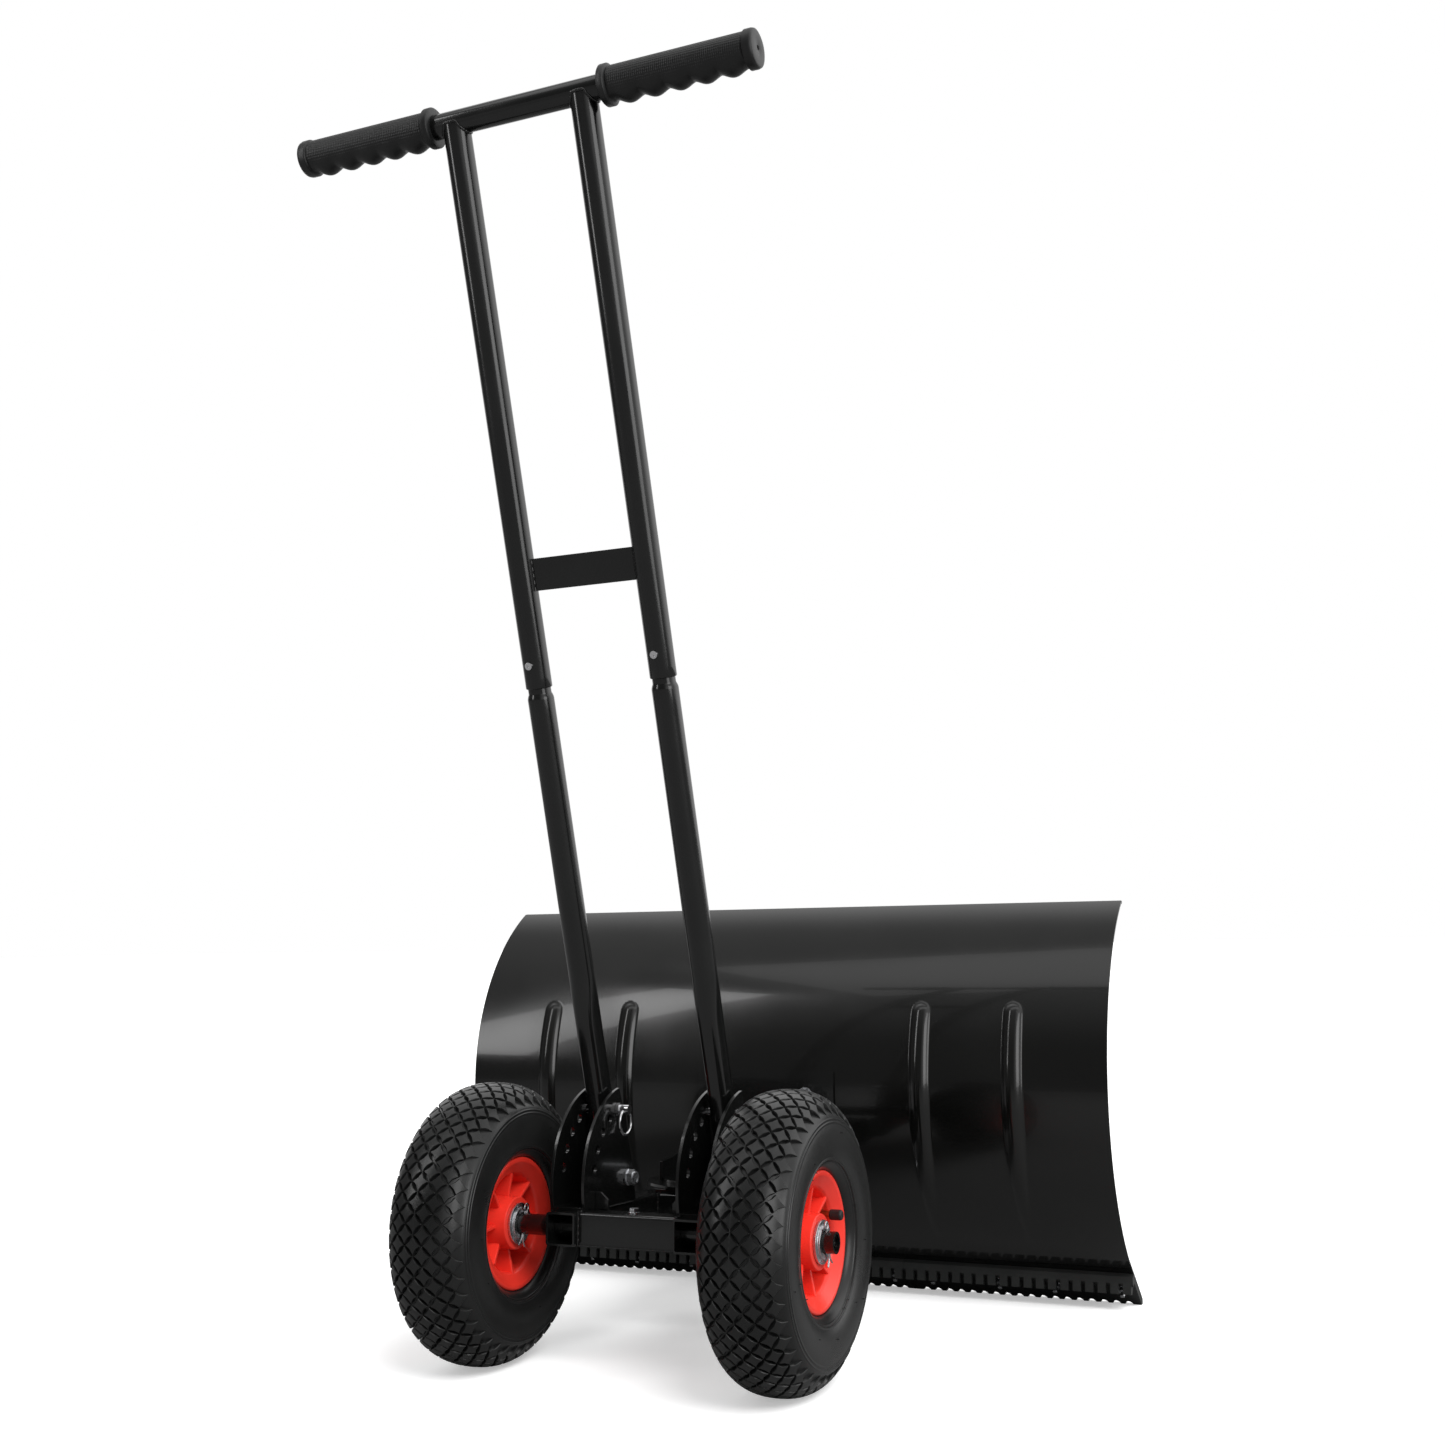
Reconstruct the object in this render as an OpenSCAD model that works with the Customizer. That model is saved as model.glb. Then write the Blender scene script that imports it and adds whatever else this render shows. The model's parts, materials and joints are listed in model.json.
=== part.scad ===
// Wheeled snow shovel: a curved pusher blade on a two-wheeled frame,
// with a folding two-piece handle and a blade that swivels left and right.
// X runs across, Y forwards, Z up. The origin is the middle of the scraper's
// wear face, on the floor. The frame is drawn level with its own origin on the
// axle, and lean() then sets it nose down until the scraper meets the floor.

/* [Wheels] */
// Outside diameter of the tyres
tyre_d = 260; // [220:5:320]
// Width of the tyres
tyre_w = 84; // [70:1:96]
// Distance between the middles of the two tyres
track = 306; // [290:2:380]
// Diameter of the rim flange
rim_d = 122; // [112:1:134]
// Spokes in each rim half
rim_ribs = 8; // [6:1:12]
// Diameter of the axle tube
axle_d = 19; // [16:0.5:20]
// Length of axle outside each wheel's middle
axle_over = 45; // [42:1:60]

/* [Frame] */
// Outside size of the square tubes
rail_size = 30; // [26:1:36]
// Wall of the square tubes
rail_wall = 2; // [1.5:0.25:3]
// Distance between the middles of the two rails
rail_spacing = 130; // [120:2:150]
// Rail length behind the axle
rail_tail = 22; // [20:1:40]
// Rail length in front of the axle
rail_nose = 180; // [170:2:215]

/* [Lock brackets] */
// Sheet thickness of the brackets
bracket_t = 3; // [2:0.5:4]
// Distance of the handle pivot in front of the axle
pivot_y = 78; // [70:1:90]
// Height of the handle pivot over the axle
pivot_z = 38; // [37:1:48]
// Radius of the fan-shaped edge round the pivot
fan_r = 88; // [84:1:96]
// Radius of the row of index holes
index_r = 69; // [64:1:72]
// Angle between two index holes
index_step = 15; // [15:1:18]
// Number of index holes
index_count = 5; // [3:1:5]
// Backward tilt of the handle in its first hole, from the frame's vertical
handle_tilt = 18.3; // [15:0.1:24]

/* [Handle] */
// Distance from the pivot to the middle of the cross handle
handle_len = 1000; // [800:10:1200]
// Outside diameter of the handle tubes
tube_d = 25; // [22:0.5:27]
// Wall of the handle tubes
tube_wall = 1.5; // [1:0.1:2]
// Width of the flattened lower ends
flat_w = 20; // [18:0.5:22]
// Length of the flattened lower ends above the pivot
flat_len = 165; // [120:5:200]
// Distance from the pivot to the joint of the tubes
joint_at = 482; // [400:2:560]
// Distance from the pivot to the snap buttons
button_at = 507; // [500:1:512]
// Distance from the pivot to the middle of the brace
brace_at = 590; // [575:1:640]
// Outside diameter of the cross handle
bar_d = 22; // [20:0.5:24]
// Length of each grip
grip_len = 144; // [110:2:150]
// Distance from the middle to the inner end of each grip
grip_from = 86; // [82:1:110]

/* [Blade] */
// Width of the blade
blade_w = 746; // [600:2:900]
// Radius of the blade's back
blade_r = 234; // [215:1:250]
// Sheet thickness of the blade
blade_t = 2; // [1.5:0.5:3]
// Angle of the top edge above the middle of the curve
blade_up = 58; // [50:1:66]
// Angle of the lower crease below the middle of the curve
blade_down = 47.5; // [44:0.5:52]
// Length of the straight flange below the crease
flange_len = 76; // [66:1:88]
// Slope of the straight flange below level
flange_slope = 37.5; // [32:0.5:42]
// Distance of the curve's middle in front of the axle
curve_y = 547; // [540:1:570]
// Height of the curve's middle over the axle
curve_z = 114; // [104:1:124]
// Depth of the pressed ribs
rib_depth = 6; // [4:0.5:8]
// Width of the pressed ribs
rib_w = 24; // [18:1:28]
// Distance of the inner ribs from the middle
rib_inner = 175; // [150:1:190]
// Distance of the outer ribs from the middle
rib_outer = 275; // [230:1:290]

/* [Swivel] */
// Distance of the swivel bolt in front of the axle
swivel_y = 234; // [225:1:240]
// Radius of the turning disc
disc_r = 93; // [84:1:94]
// Radius of the row of swivel index holes
swivel_index_r = 70; // [68:1:72]
// Largest swivel angle to each side
swivel_max = 30; // [20:10:30]
// Thickness of the base plate under the disc
base_t = 4; // [3:0.5:5]

/* [Scraper] */
// Number of scraper segments across the blade
segments = 3; // [2:1:4]
// Teeth along each segment
teeth = 19; // [13:2:25]
// Thickness of the scraper's body
scraper_t = 6; // [5:0.5:7]

/* [Hidden] */
$fn = 96;
gap = 0.3;              // between pieces that move past each other
run_fit = 0.05;         // radial clearance of a shaft that turns in a hole
loose_fit = 0.3;        // radial clearance of bolts and index pins
tiny = 0.01;
tyre_r = tyre_d / 2;
axle_r = axle_d / 2;
axle_half = track / 2 + axle_over;
rail_x = rail_spacing / 2;
rail_top = rail_size / 2;
cross_w = rail_spacing - rail_size;
tube_r = tube_d / 2;
bar_r = bar_d / 2;

// wheel, measured from its middle along the axle
seat_r = 52;            // tyre seat on the rim
flange_r = rim_d / 2;
flange_z = 31.5;          // outer face of the rim flange
pocket_r = 47;
web_t = 4;
hub_r = 24;
hub_z = 30;
bearing_r = 17.5;
bearing_w = 11;
rib_t = 3.5;
big_washer_t = 2.5;
small_washer_t = 2;
cotter_x = hub_z + gap + big_washer_t + small_washer_t + 2.2;
tread_r = 34;           // section radius at the shoulders
tyre_wall = 7;
tyre_mid = tyre_r - tyre_w / 2;
valve_angle = 28;
valve_r = 38;
stem_z = 14;
stem_r = 3.4;
cap_z = 27;
cap_h = 10.5;
screw_r = 2;

// lock brackets and pins
pivot_r = 4;
pin_r = 4;
bracket_w = rail_size + 2 * bracket_t;
bracket_in = rail_x - bracket_w / 2;
bracket_out = rail_x + bracket_w / 2;
ring_r = 11.7;
ring_wire = 1.3;
ring_play = 1.15;       // room for the ring's curve in its cross hole
ring_x = bracket_in - 8;
knuckle_r = 4.6;

// handle
flat_d = tube_d + (tube_d - flat_w) / 2;
flat_drop = 13;
round_from = flat_len + 30;
spigot_r = tube_r - tube_wall - 0.2;
spigot_wall = 1.5;
spigot_len = 68;
tube_gap = 2.5;
button_r = 3.6;
button_out = 2.2;
brace_h = 30;
brace_t = 3;
grip_r = 15.5;
grip_flange_r = 18;
grip_cap_r = 16.8;
grip_bumps = 5;

// blade section, in the plane across the blade
crease_y = curve_y - blade_r * cos(blade_down);
crease_z = curve_z - blade_r * sin(blade_down);
rib_aim = 5;
rib_end_low = -40;
rib_end_high = 20;
rib_shift = rib_depth / (1 - cos(rib_aim - rib_end_low));
hem_r = 2;

// swivel
base_top = rail_top + base_t;
disc_bottom = base_top + gap;
disc_t = 3;
cradle_bottom = disc_bottom + disc_t;
cradle_t = 3;
cradle_top = cradle_bottom + cradle_t;
cradle_half = 71;
cradle_r = 77;
lip_rear = 16;
lip_front = 36;
pad_t = 3;
pad_half = 80;
pad_low = -40;
pad_high = 4;
swivel_r = 6;
swivel_pin_y = swivel_y - swivel_index_r;
swivel_step = 10;

// scraper, measured along and square to the flange
segment_w = blade_w / segments;
tooth_pitch = segment_w / teeth;
scraper_from = 26;
toe_r = 4;
toe_flat = 1;
toe_s = flange_len + 3.5;
toe_n = 2;
bolt_s = 46;
scraper_bolt_r = 2.5;
rib_deep = 19.5;        // of the upright ribs behind the teeth
bolt_share = [0.12, 0.42, 0.66, 0.945];

// the toe's middle, and the lean that puts its flat on the floor
toe_y = crease_y + toe_s * cos(flange_slope) - toe_n * sin(flange_slope);
toe_z = crease_z - toe_s * sin(flange_slope) - toe_n * cos(flange_slope);
lean_deg = atan2(toe_z, toe_y)
    + asin((tyre_r - toe_r + toe_flat) / norm([toe_y, toe_z]));
axle_back = toe_y * cos(lean_deg) + toe_z * sin(lean_deg);

// ---- placing ----

// from the frame's own level axes to the way it stands on the floor
module lean()
    translate([0, -axle_back, tyre_r]) rotate([-lean_deg, 0, 0]) children();

// a flat outline drawn as (Y, Z), drawn out w wide about X = x
module across(x, w)
    translate([x, 0, 0]) rotate([90, 0, 90])
        linear_extrude(w, center = true) children();

// a rod along X from x0 to x1
module rod_x(x0, x1, r)
    translate([x0, 0, 0]) rotate([0, 90, 0]) cylinder(r = r, h = x1 - x0);

// the handle's axes: Z along the tubes, from the pivot
module handle_axes()
    lean() translate([0, pivot_y, pivot_z]) rotate([handle_tilt, 0, 0])
        children();

// a wheel's axes: Z outwards along the axle, from the middle of the tyre
module wheel_axes(side)
    translate([side * track / 2, -axle_back, tyre_r])
        mirrored(side) rotate([0, 90, 0]) children();

// left pieces are the right ones seen in a mirror
module mirrored(side)
    mirror([side < 0 ? 1 : 0, 0, 0]) children();

// ---- shared shapes ----

module rounded_square(size, r) {
    square([size - 2 * r, size], center = true);
    square([size, size - 2 * r], center = true);
    for (x = [-1, 1], y = [-1, 1])
        translate([x, y] * (size / 2 - r)) circle(r = r);
}

module square_tube(length)
    linear_extrude(length, center = true) difference() {
        rounded_square(rail_size, 3);
        rounded_square(rail_size - 2 * rail_wall, 1.5);
    }

module hex(across_flats, h) cylinder(d = across_flats / cos(30), h = h, $fn = 6);

module washer(r_out, r_in, h) difference() {
    cylinder(r = r_out, h = h);
    translate([0, 0, -1]) cylinder(r = r_in, h = h + 2);
}

module ring(r_mid, r_wire) rotate_extrude() translate([r_mid, 0]) circle(r = r_wire);

// ---- frame ----

module rail(side)
    color("#1b1c1d") lean() difference() {
        translate([side * rail_x, (rail_nose - rail_tail) / 2, 0])
            rotate([90, 0, 0]) square_tube(rail_nose + rail_tail);
        rod_x(-axle_half, axle_half, axle_r + loose_fit);
    }

module rail_left() rail(-1);
module rail_right() rail(1);

module axle_crossbar()
    color("#1b1c1d") lean() difference() {
        rotate([0, 90, 0]) square_tube(cross_w);
        cylinder(r = 3 + loose_fit, h = rail_size);
    }

module front_crossbar()
    color("#1b1c1d") lean() difference() {
        translate([0, rail_nose - rail_size / 2, 0]) rotate([0, 90, 0])
            square_tube(cross_w);
        translate([0, swivel_pin_y, 0]) cylinder(r = pin_r + loose_fit, h = rail_size);
    }

// the fan of one bracket side, as (Y, Z) from the pivot
module fan_outline()
    intersection() {
        circle(r = fan_r);
        polygon([
            [17, rail_top - pivot_z], [12, 7], [1, 36], [-9, 64], [-24, fan_r + 9],
            [-2 * fan_r, fan_r], [-2 * fan_r, rail_top - pivot_z]
        ]);
    }

module index_holes()
    for (i = [0 : index_count - 1])
        rotate([handle_tilt + i * index_step, 0, 0]) translate([0, 0, index_r])
            rod_x(-bracket_w, bracket_w, pin_r + loose_fit);

// a U of bent sheet that stands on the rail, open at the top
module lock_bracket(side)
    color("#141516") lean() translate([side * rail_x, pivot_y, pivot_z])
        difference() {
            across(0, bracket_w) fan_outline();
            difference() {
                cube([rail_size, 4 * fan_r, 4 * fan_r], center = true);
                translate([0, 0, rail_top - pivot_z - 2 * fan_r + bracket_t])
                    cube([rail_size + 2, 4 * fan_r, 4 * fan_r], center = true);
            }
            rod_x(-bracket_w, bracket_w, pivot_r + loose_fit);
            index_holes();
        }

module lock_bracket_left() lock_bracket(-1);
module lock_bracket_right() lock_bracket(1);

// small plates that tie the brackets to the rear crossbar
module corner_gussets()
    color("#141516") lean() for (side = [-1, 1]) mirrored(side)
        translate([bracket_in, rail_top, rail_top]) rotate([90, 0, 0])
            linear_extrude(bracket_t)
                polygon([[0, 0], [-14, 0], [-14, 9], [-6, 16], [0, 16]]);

module base_outline() {
    translate([0, swivel_y]) circle(r = disc_r - 5);
    polygon([
        [-54, swivel_y - 82], [54, swivel_y - 82],
        [disc_r - 5, swivel_y - 34], [disc_r - 5, swivel_y],
        [5 - disc_r, swivel_y], [5 - disc_r, swivel_y - 34]
    ]);
}

module swivel_base_plate()
    color("#141516") lean() difference() {
        translate([0, 0, rail_top]) linear_extrude(base_t) base_outline();
        translate([0, swivel_y, 0]) cylinder(r = swivel_r + loose_fit, h = rail_size);
        translate([0, swivel_pin_y, 0]) cylinder(r = pin_r + loose_fit, h = rail_size);
    }

// ---- axle ----

// beside each wheel, turned a little so that no two pins look alike
module cotter_spots()
    for (side = [-1, 1], face = [-1, 1])
        translate([side * track / 2 + face * cotter_x, 0, 0])
            rotate([side * face * 14, 0, 0]) children();

module axle_tube()
    color("#19191a") lean() difference() {
        rod_x(-axle_half, axle_half, axle_r);
        rod_x(-axle_half - 1, axle_half + 1, axle_r - 2.5);
        cotter_spots() translate([0, 0, -axle_d]) cylinder(r = 2, h = 2 * axle_d);
    }

module axle_lock_screw()
    color("#c9ccd0") lean() {
        translate([0, 0, axle_r + gap]) cylinder(r = 3, h = rail_top - axle_r);
        translate([0, 0, rail_top]) cylinder(r = 5.5, h = 1.2);
        translate([0, 0, rail_top + 1.2]) hex(8, 3.4);
    }

module axle_washers()
    color("#c3c7cc") for (side = [-1, 1]) wheel_axes(side)
        for (face = [0, 1]) mirror([0, 0, face]) translate([0, 0, hub_z + gap]) {
            washer(19, axle_r + loose_fit, big_washer_t);
            translate([0, 0, big_washer_t])
                washer(14.5, axle_r + loose_fit, small_washer_t);
        }

// a split pin: an eye on top, two legs bent apart below
module cotter() {
    translate([0, 0, -axle_r - 5]) cylinder(r = 1.6, h = axle_d + 7);
    translate([0, 0, axle_r + 5.4]) rotate([0, 90, 0]) ring(3.4, 1.2);
    for (s = [-1, 1]) translate([0, 0, -axle_r - 4.4]) rotate([s * 38, 0, 0])
        translate([0, 0, -8]) cylinder(r = 1, h = 8);
}

module cotter_pins()
    color("#d0d3d6") lean() cotter_spots() cotter();

// ---- wheels ----

// section of a rim half, as (radius, height)
module rim_section() {
    polygon([
        [seat_r - 7, 0], [seat_r, 0], [seat_r, flange_z - 7],
        [flange_r - 1.2, flange_z - 4.5], [flange_r, flange_z - 3],
        [flange_r, flange_z - 1], [flange_r - 1.2, flange_z],
        [pocket_r, flange_z - 9], [seat_r - 7, web_t]
    ]);
    translate([hub_r - 2, 0]) square([seat_r - hub_r - 2, web_t]);
    translate([bearing_r, 0]) square([hub_r - bearing_r, hub_z]);
    translate([bearing_r - 4, 0])
        square([hub_r - bearing_r, hub_z - bearing_w]);
}

module rim_rib()
    rotate([90, 0, 0]) linear_extrude(rib_t, center = true)
        polygon([
            [hub_r - 1, web_t - 1], [pocket_r - 1, web_t - 1],
            [pocket_r, flange_z - 9], [hub_r - 1, hub_z - 10]
        ]);

// the four screws that hold the halves together, halfway between two ribs
module screw_spots() for (i = [0 : 3]) rotate(180 / rim_ribs + 45 + i * 90)
    translate([(hub_r + pocket_r) / 2, 0, 0]) children();

module rim_half(side, face)
    color("#e0281c") wheel_axes(side) mirror([0, 0, face]) difference() {
        union() {
            rotate_extrude() rim_section();
            for (i = [0 : rim_ribs - 1])
                rotate(360 * i / rim_ribs) rim_rib();
        }
        screw_spots() translate([0, 0, -1]) cylinder(r = screw_r + 0.2, h = web_t + 2);
        if (face == 0) at_valve() translate([valve_r, 0, stem_z]) rotate([0, 90, 0])
            cylinder(r = stem_r + 2 * gap, h = seat_r - valve_r + 1);
    }

module rim_outer_left() rim_half(-1, 0);
module rim_outer_right() rim_half(1, 0);
module rim_inner_left() rim_half(-1, 1);
module rim_inner_right() rim_half(1, 1);

// a round section with full shoulders, hollow for the tube, cut to the rim
module tyre_section()
    difference() {
        union() {
            translate([tyre_mid, 0]) circle(d = tyre_w);
            for (s = [-1, 1])
                translate([tyre_r - tread_r, s * (tyre_w / 2 - tread_r)])
                    circle(r = tread_r);
            translate([seat_r, -flange_z + 6])
                square([tyre_mid - seat_r, 2 * flange_z - 12]);
        }
        translate([tyre_mid - 1, 0]) circle(d = tyre_w - 2 * tyre_wall);
        translate([seat_r - 1, -18]) square([20, 36]);
        translate([0, -tyre_w]) square([seat_r, tyre_w * 2]);
        rim_section();
        mirror([0, 1]) rim_section();
    }

module tyre(side)
    color("#202122") wheel_axes(side) rotate_extrude() tyre_section();

module tyre_left() tyre(-1);
module tyre_right() tyre(1);

module at_valve()
    rotate(90 + valve_angle) children();

// an air tube with a bent valve stem that comes out through the rim
module inner_tube(side)
    color("#2a2a2b") wheel_axes(side) difference() {
        union() {
            ring(tyre_mid - 1, tyre_w / 2 - tyre_wall - 1);
            at_valve() {
                translate([valve_r, 0, stem_z]) rotate([0, 90, 0])
                    cylinder(r = stem_r, h = tyre_mid - tyre_w / 2 + tyre_wall + 4 - valve_r);
                translate([valve_r, 0, stem_z]) sphere(r = stem_r);
                translate([valve_r, 0, stem_z]) cylinder(r = stem_r, h = cap_z - stem_z);
            }
        }
        ring(tyre_mid - 1, tyre_w / 2 - tyre_wall - 3);
    }

module inner_tube_left() inner_tube(-1);
module inner_tube_right() inner_tube(1);

module valve_cap(side)
    color("#101010") wheel_axes(side) at_valve() translate([valve_r, 0, cap_z]) {
        cylinder(r = 4.7, h = cap_h);
        translate([0, 0, cap_h]) cylinder(r = 3.9, h = 1);
    }

module valve_cap_left() valve_cap(-1);
module valve_cap_right() valve_cap(1);

module hub_bearings(side)
    color("#b9bdc2") wheel_axes(side) for (face = [0, 1]) mirror([0, 0, face])
        translate([0, 0, hub_z - bearing_w]) difference() {
            washer(bearing_r, axle_r + run_fit, bearing_w);
            translate([0, 0, bearing_w - 1]) washer(15.5, 12.5, 2);
        }

module hub_bearings_left() hub_bearings(-1);
module hub_bearings_right() hub_bearings(1);

module rim_screws(side)
    color("#c9ccd0") wheel_axes(side) screw_spots() {
        translate([0, 0, -web_t]) cylinder(r = screw_r, h = 2 * web_t);
        translate([0, 0, web_t]) cylinder(r = 3.8, h = 2.6);
        translate([0, 0, -web_t - 3]) hex(7, 3);
    }

module rim_screws_left() rim_screws(-1);
module rim_screws_right() rim_screws(1);

// ---- handle pivots ----

module pivot_bolts()
    color("#c9ccd0") lean() for (side = [-1, 1]) mirrored(side)
        translate([0, pivot_y, pivot_z]) {
            rod_x(bracket_in - 9, bracket_out, pivot_r);
            rod_x(bracket_out, bracket_out + 1.4, 8);
            translate([bracket_out + 1.4, 0, 0]) rotate([0, 90, 0]) hex(13, 5);
        }

module pivot_nuts()
    color("#d6d9dc") lean() for (side = [-1, 1]) mirrored(side)
        translate([bracket_in, pivot_y, pivot_z]) rotate([0, -90, 0]) difference() {
            union() {
                cylinder(r = 8, h = 1.4);
                translate([0, 0, 1.4]) hex(13, 6);
                translate([0, 0, 7.4]) cylinder(r = 5.6, h = 2);
            }
            translate([0, 0, -1]) cylinder(r = pivot_r, h = 20);
        }

module pivot_spacers()
    color("#2b2b2c") handle_axes() for (side = [-1, 1], face = [-1, 1])
        translate([side * rail_x + face * (flat_w / 2), 0, 0])
            rotate([0, face * 90, 0])
                washer(10, pivot_r + run_fit, (rail_size - flat_w) / 2 - gap);

// ---- handle ----

// a pressed tube's lower end: two flats that fade out into the round tube
module lower_skin(r, w, d, low) {
    translate([0, 0, low]) linear_extrude(flat_len - low) intersection() {
        circle(d = d);
        square([w, d], center = true);
    }
    intersection() {
        translate([0, 0, flat_len])
            cylinder(r1 = d / 2, r2 = r, h = round_from - flat_len);
        rotate([90, 0, 0]) linear_extrude(d, center = true) polygon([
            [-w / 2, flat_len - tiny], [w / 2, flat_len - tiny],
            [r + gap, round_from + tiny], [-r - gap, round_from + tiny]
        ]);
    }
}

module lower_tube(side)
    color("#1b1c1d") handle_axes() translate([side * rail_x, 0, 0]) difference() {
        union() {
            lower_skin(tube_r, flat_w, flat_d, -flat_drop);
            translate([0, 0, round_from]) cylinder(r = tube_r, h = joint_at - round_from);
            translate([0, 0, joint_at - 8]) cylinder(r = spigot_r, h = spigot_len + 8);
        }
        lower_skin(tube_r - tube_wall, flat_w - 2 * tube_wall,
            flat_d - 2 * tube_wall, -flat_drop - 1);
        translate([0, 0, round_from])
            cylinder(r = tube_r - tube_wall, h = joint_at - 8 - round_from);
        translate([0, 0, joint_at - 9])
            cylinder(r = spigot_r - spigot_wall, h = spigot_len + 12);
        rod_x(-tube_d, tube_d, pivot_r + run_fit);
        translate([0, 0, index_r]) rod_x(-tube_d, tube_d, pin_r + loose_fit);
        translate([0, 0, button_at]) rotate([90, 0, 0])
            cylinder(r = button_r + loose_fit, h = tube_d);
    }

module lower_tube_left() lower_tube(-1);
module lower_tube_right() lower_tube(1);

module upper_tube(side)
    color("#1b1c1d") handle_axes() difference() {
        translate([side * rail_x, 0, joint_at + tube_gap])
            cylinder(r = tube_r, h = handle_len - joint_at - tube_gap);
        translate([side * rail_x, 0, joint_at])
            cylinder(r = tube_r - tube_wall, h = handle_len);
        translate([0, 0, handle_len]) rod_x(-2 * rail_x, 2 * rail_x, bar_r);
        translate([side * rail_x, 0, button_at]) rotate([90, 0, 0])
            cylinder(r = button_r + loose_fit, h = tube_d);
    }

module upper_tube_left() upper_tube(-1);
module upper_tube_right() upper_tube(1);

module brace_plate()
    color("#1b1c1d") handle_axes() difference() {
        translate([0, 0, brace_at])
            cube([rail_spacing, brace_t, brace_h], center = true);
        for (side = [-1, 1]) translate([side * rail_x, 0, brace_at - brace_h])
            cylinder(r = tube_r, h = 2 * brace_h);
    }

module cross_handle()
    color("#1b1c1d") handle_axes() translate([0, 0, handle_len]) difference() {
        rod_x(-grip_from - grip_len + 4, grip_from + grip_len - 4, bar_r);
        rod_x(-grip_from - grip_len, grip_from + grip_len, bar_r - tube_wall);
    }

// a closed rubber sleeve with a flange, an end cap and five finger bumps
module grip(side)
    color("#232425") handle_axes() translate([0, 0, handle_len]) mirrored(side)
        difference() {
            union() {
                rod_x(grip_from, grip_from + 7, grip_flange_r);
                rod_x(grip_from, grip_from + grip_len, grip_r);
                rod_x(grip_from + grip_len - 9, grip_from + grip_len, grip_cap_r);
                for (i = [0 : grip_bumps - 1])
                    translate([grip_from + 20 + i * (grip_len - 40) / (grip_bumps - 1), 0, -6])
                        sphere(r = 12.4);
            }
            rod_x(grip_from - 1, grip_from + grip_len - 4, bar_r);
            rod_x(grip_from, grip_from + grip_len + 1, 2);
        }

module grip_left() grip(-1);
module grip_right() grip(1);

// a chrome button on a V-shaped leaf spring inside the spigot
module snap_button(side)
    color("#d6d9dc") handle_axes() translate([side * rail_x, 0, button_at]) {
        rotate([90, 0, 0]) difference() {
            cylinder(r = button_r, h = tube_r + button_out);
            cylinder(r = button_r + 1, h = 6.2);
            translate([0, 0, tube_r + button_out - 0.8]) cylinder(r = 1.1, h = 1);
        }
        across(0, 7) polygon([
            [-7.4, 6], [-7.4, -4], [-0.6, -44], [0.6, -44], [5.3, 0], [4.3, 0],
            [0, -39], [-6.2, -4], [-6.2, 6]
        ]);
    }

module snap_button_left() snap_button(-1);
module snap_button_right() snap_button(1);

// ---- lock pins ----

module at_pin(side)
    handle_axes() mirrored(side) translate([0, 0, index_r])
        rotate([lean_deg - handle_tilt, 0, 0]) children();

module lock_pin(side)
    color("#d6d9dc") at_pin(side) difference() {
        union() {
            rod_x(bracket_in - 1, bracket_out + 3, pin_r);
            rod_x(bracket_out + 3, bracket_out + 4.5, pin_r - 1);
            rod_x(bracket_in - 3.5, bracket_in - gap, 6.5);
            rod_x(ring_x - knuckle_r, bracket_in - 2, knuckle_r);
        }
        translate([ring_x, 0, 0]) rotate([90, 0, 0])
            cylinder(r = ring_wire + ring_play, h = 20, center = true);
    }

module lock_pin_left() lock_pin(-1);
module lock_pin_right() lock_pin(1);

module pin_ring(side)
    color("#e3e5e7") at_pin(side) translate([ring_x, 0, -ring_r])
        rotate([0, 90, 0]) ring(ring_r, ring_wire);

module pin_ring_left() pin_ring(-1);
module pin_ring_right() pin_ring(1);

// ---- blade ----

function around(a, r) = [curve_y - r * cos(a), curve_z + r * sin(a)];

// the part of a ring round the curve's middle between two angles
module arc_band(r_in, r_out, low, high)
    intersection() {
        translate([curve_y, curve_z]) difference() {
            circle(r = r_out, $fn = 240);
            circle(r = r_in, $fn = 240);
        }
        polygon([
            [curve_y, curve_z], around(low, 2 * r_out),
            around((low + high) / 2, 2 * r_out), around(high, 2 * r_out)
        ]);
    }

// the flange's axes: first coordinate down the flange, second backwards
module on_flange()
    translate([crease_y, crease_z]) rotate(-flange_slope) mirror([0, 1]) children();

module blade_section() {
    arc_band(blade_r - blade_t, blade_r, -blade_down, blade_up);
    on_flange() translate([-0.5, -blade_t]) square([flange_len + 0.5, blade_t]);
    translate(around(blade_up, blade_r - hem_r)) circle(r = hem_r);
}

// a half-round rib on an arc that sinks into the back at its lower end
module pressed_rib(x) {
    arc_r = blade_r + rib_depth - rib_shift - rib_w / 2;
    translate([x, curve_y - rib_shift * cos(rib_aim), curve_z + rib_shift * sin(rib_aim)])
        rotate([0, 90, 0]) rotate([0, 0, 270 - rib_end_high]) {
            rotate_extrude(angle = rib_end_high - rib_end_low)
                translate([arc_r, 0]) circle(d = rib_w);
            translate([arc_r, 0]) sphere(d = rib_w - 2 * tiny);
        }
}

module flange_rods(r, low, high)
    lean() for (s = [0 : segments - 1], share = bolt_share)
        translate([-blade_w / 2 + (s + share) * segment_w, crease_y, crease_z])
            rotate([-flange_slope, 0, 0]) translate([0, bolt_s, 0])
                mirror([0, 0, 1]) translate([0, 0, low]) cylinder(r = r, h = high - low);

module pad_spots()
    lean() for (x = [-1, 1], a = [pad_low + 7, pad_high - 6])
        translate([x * 48, curve_y, curve_z]) rotate([90 - a, 0, 0])
            translate([0, 0, blade_r]) children();

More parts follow.
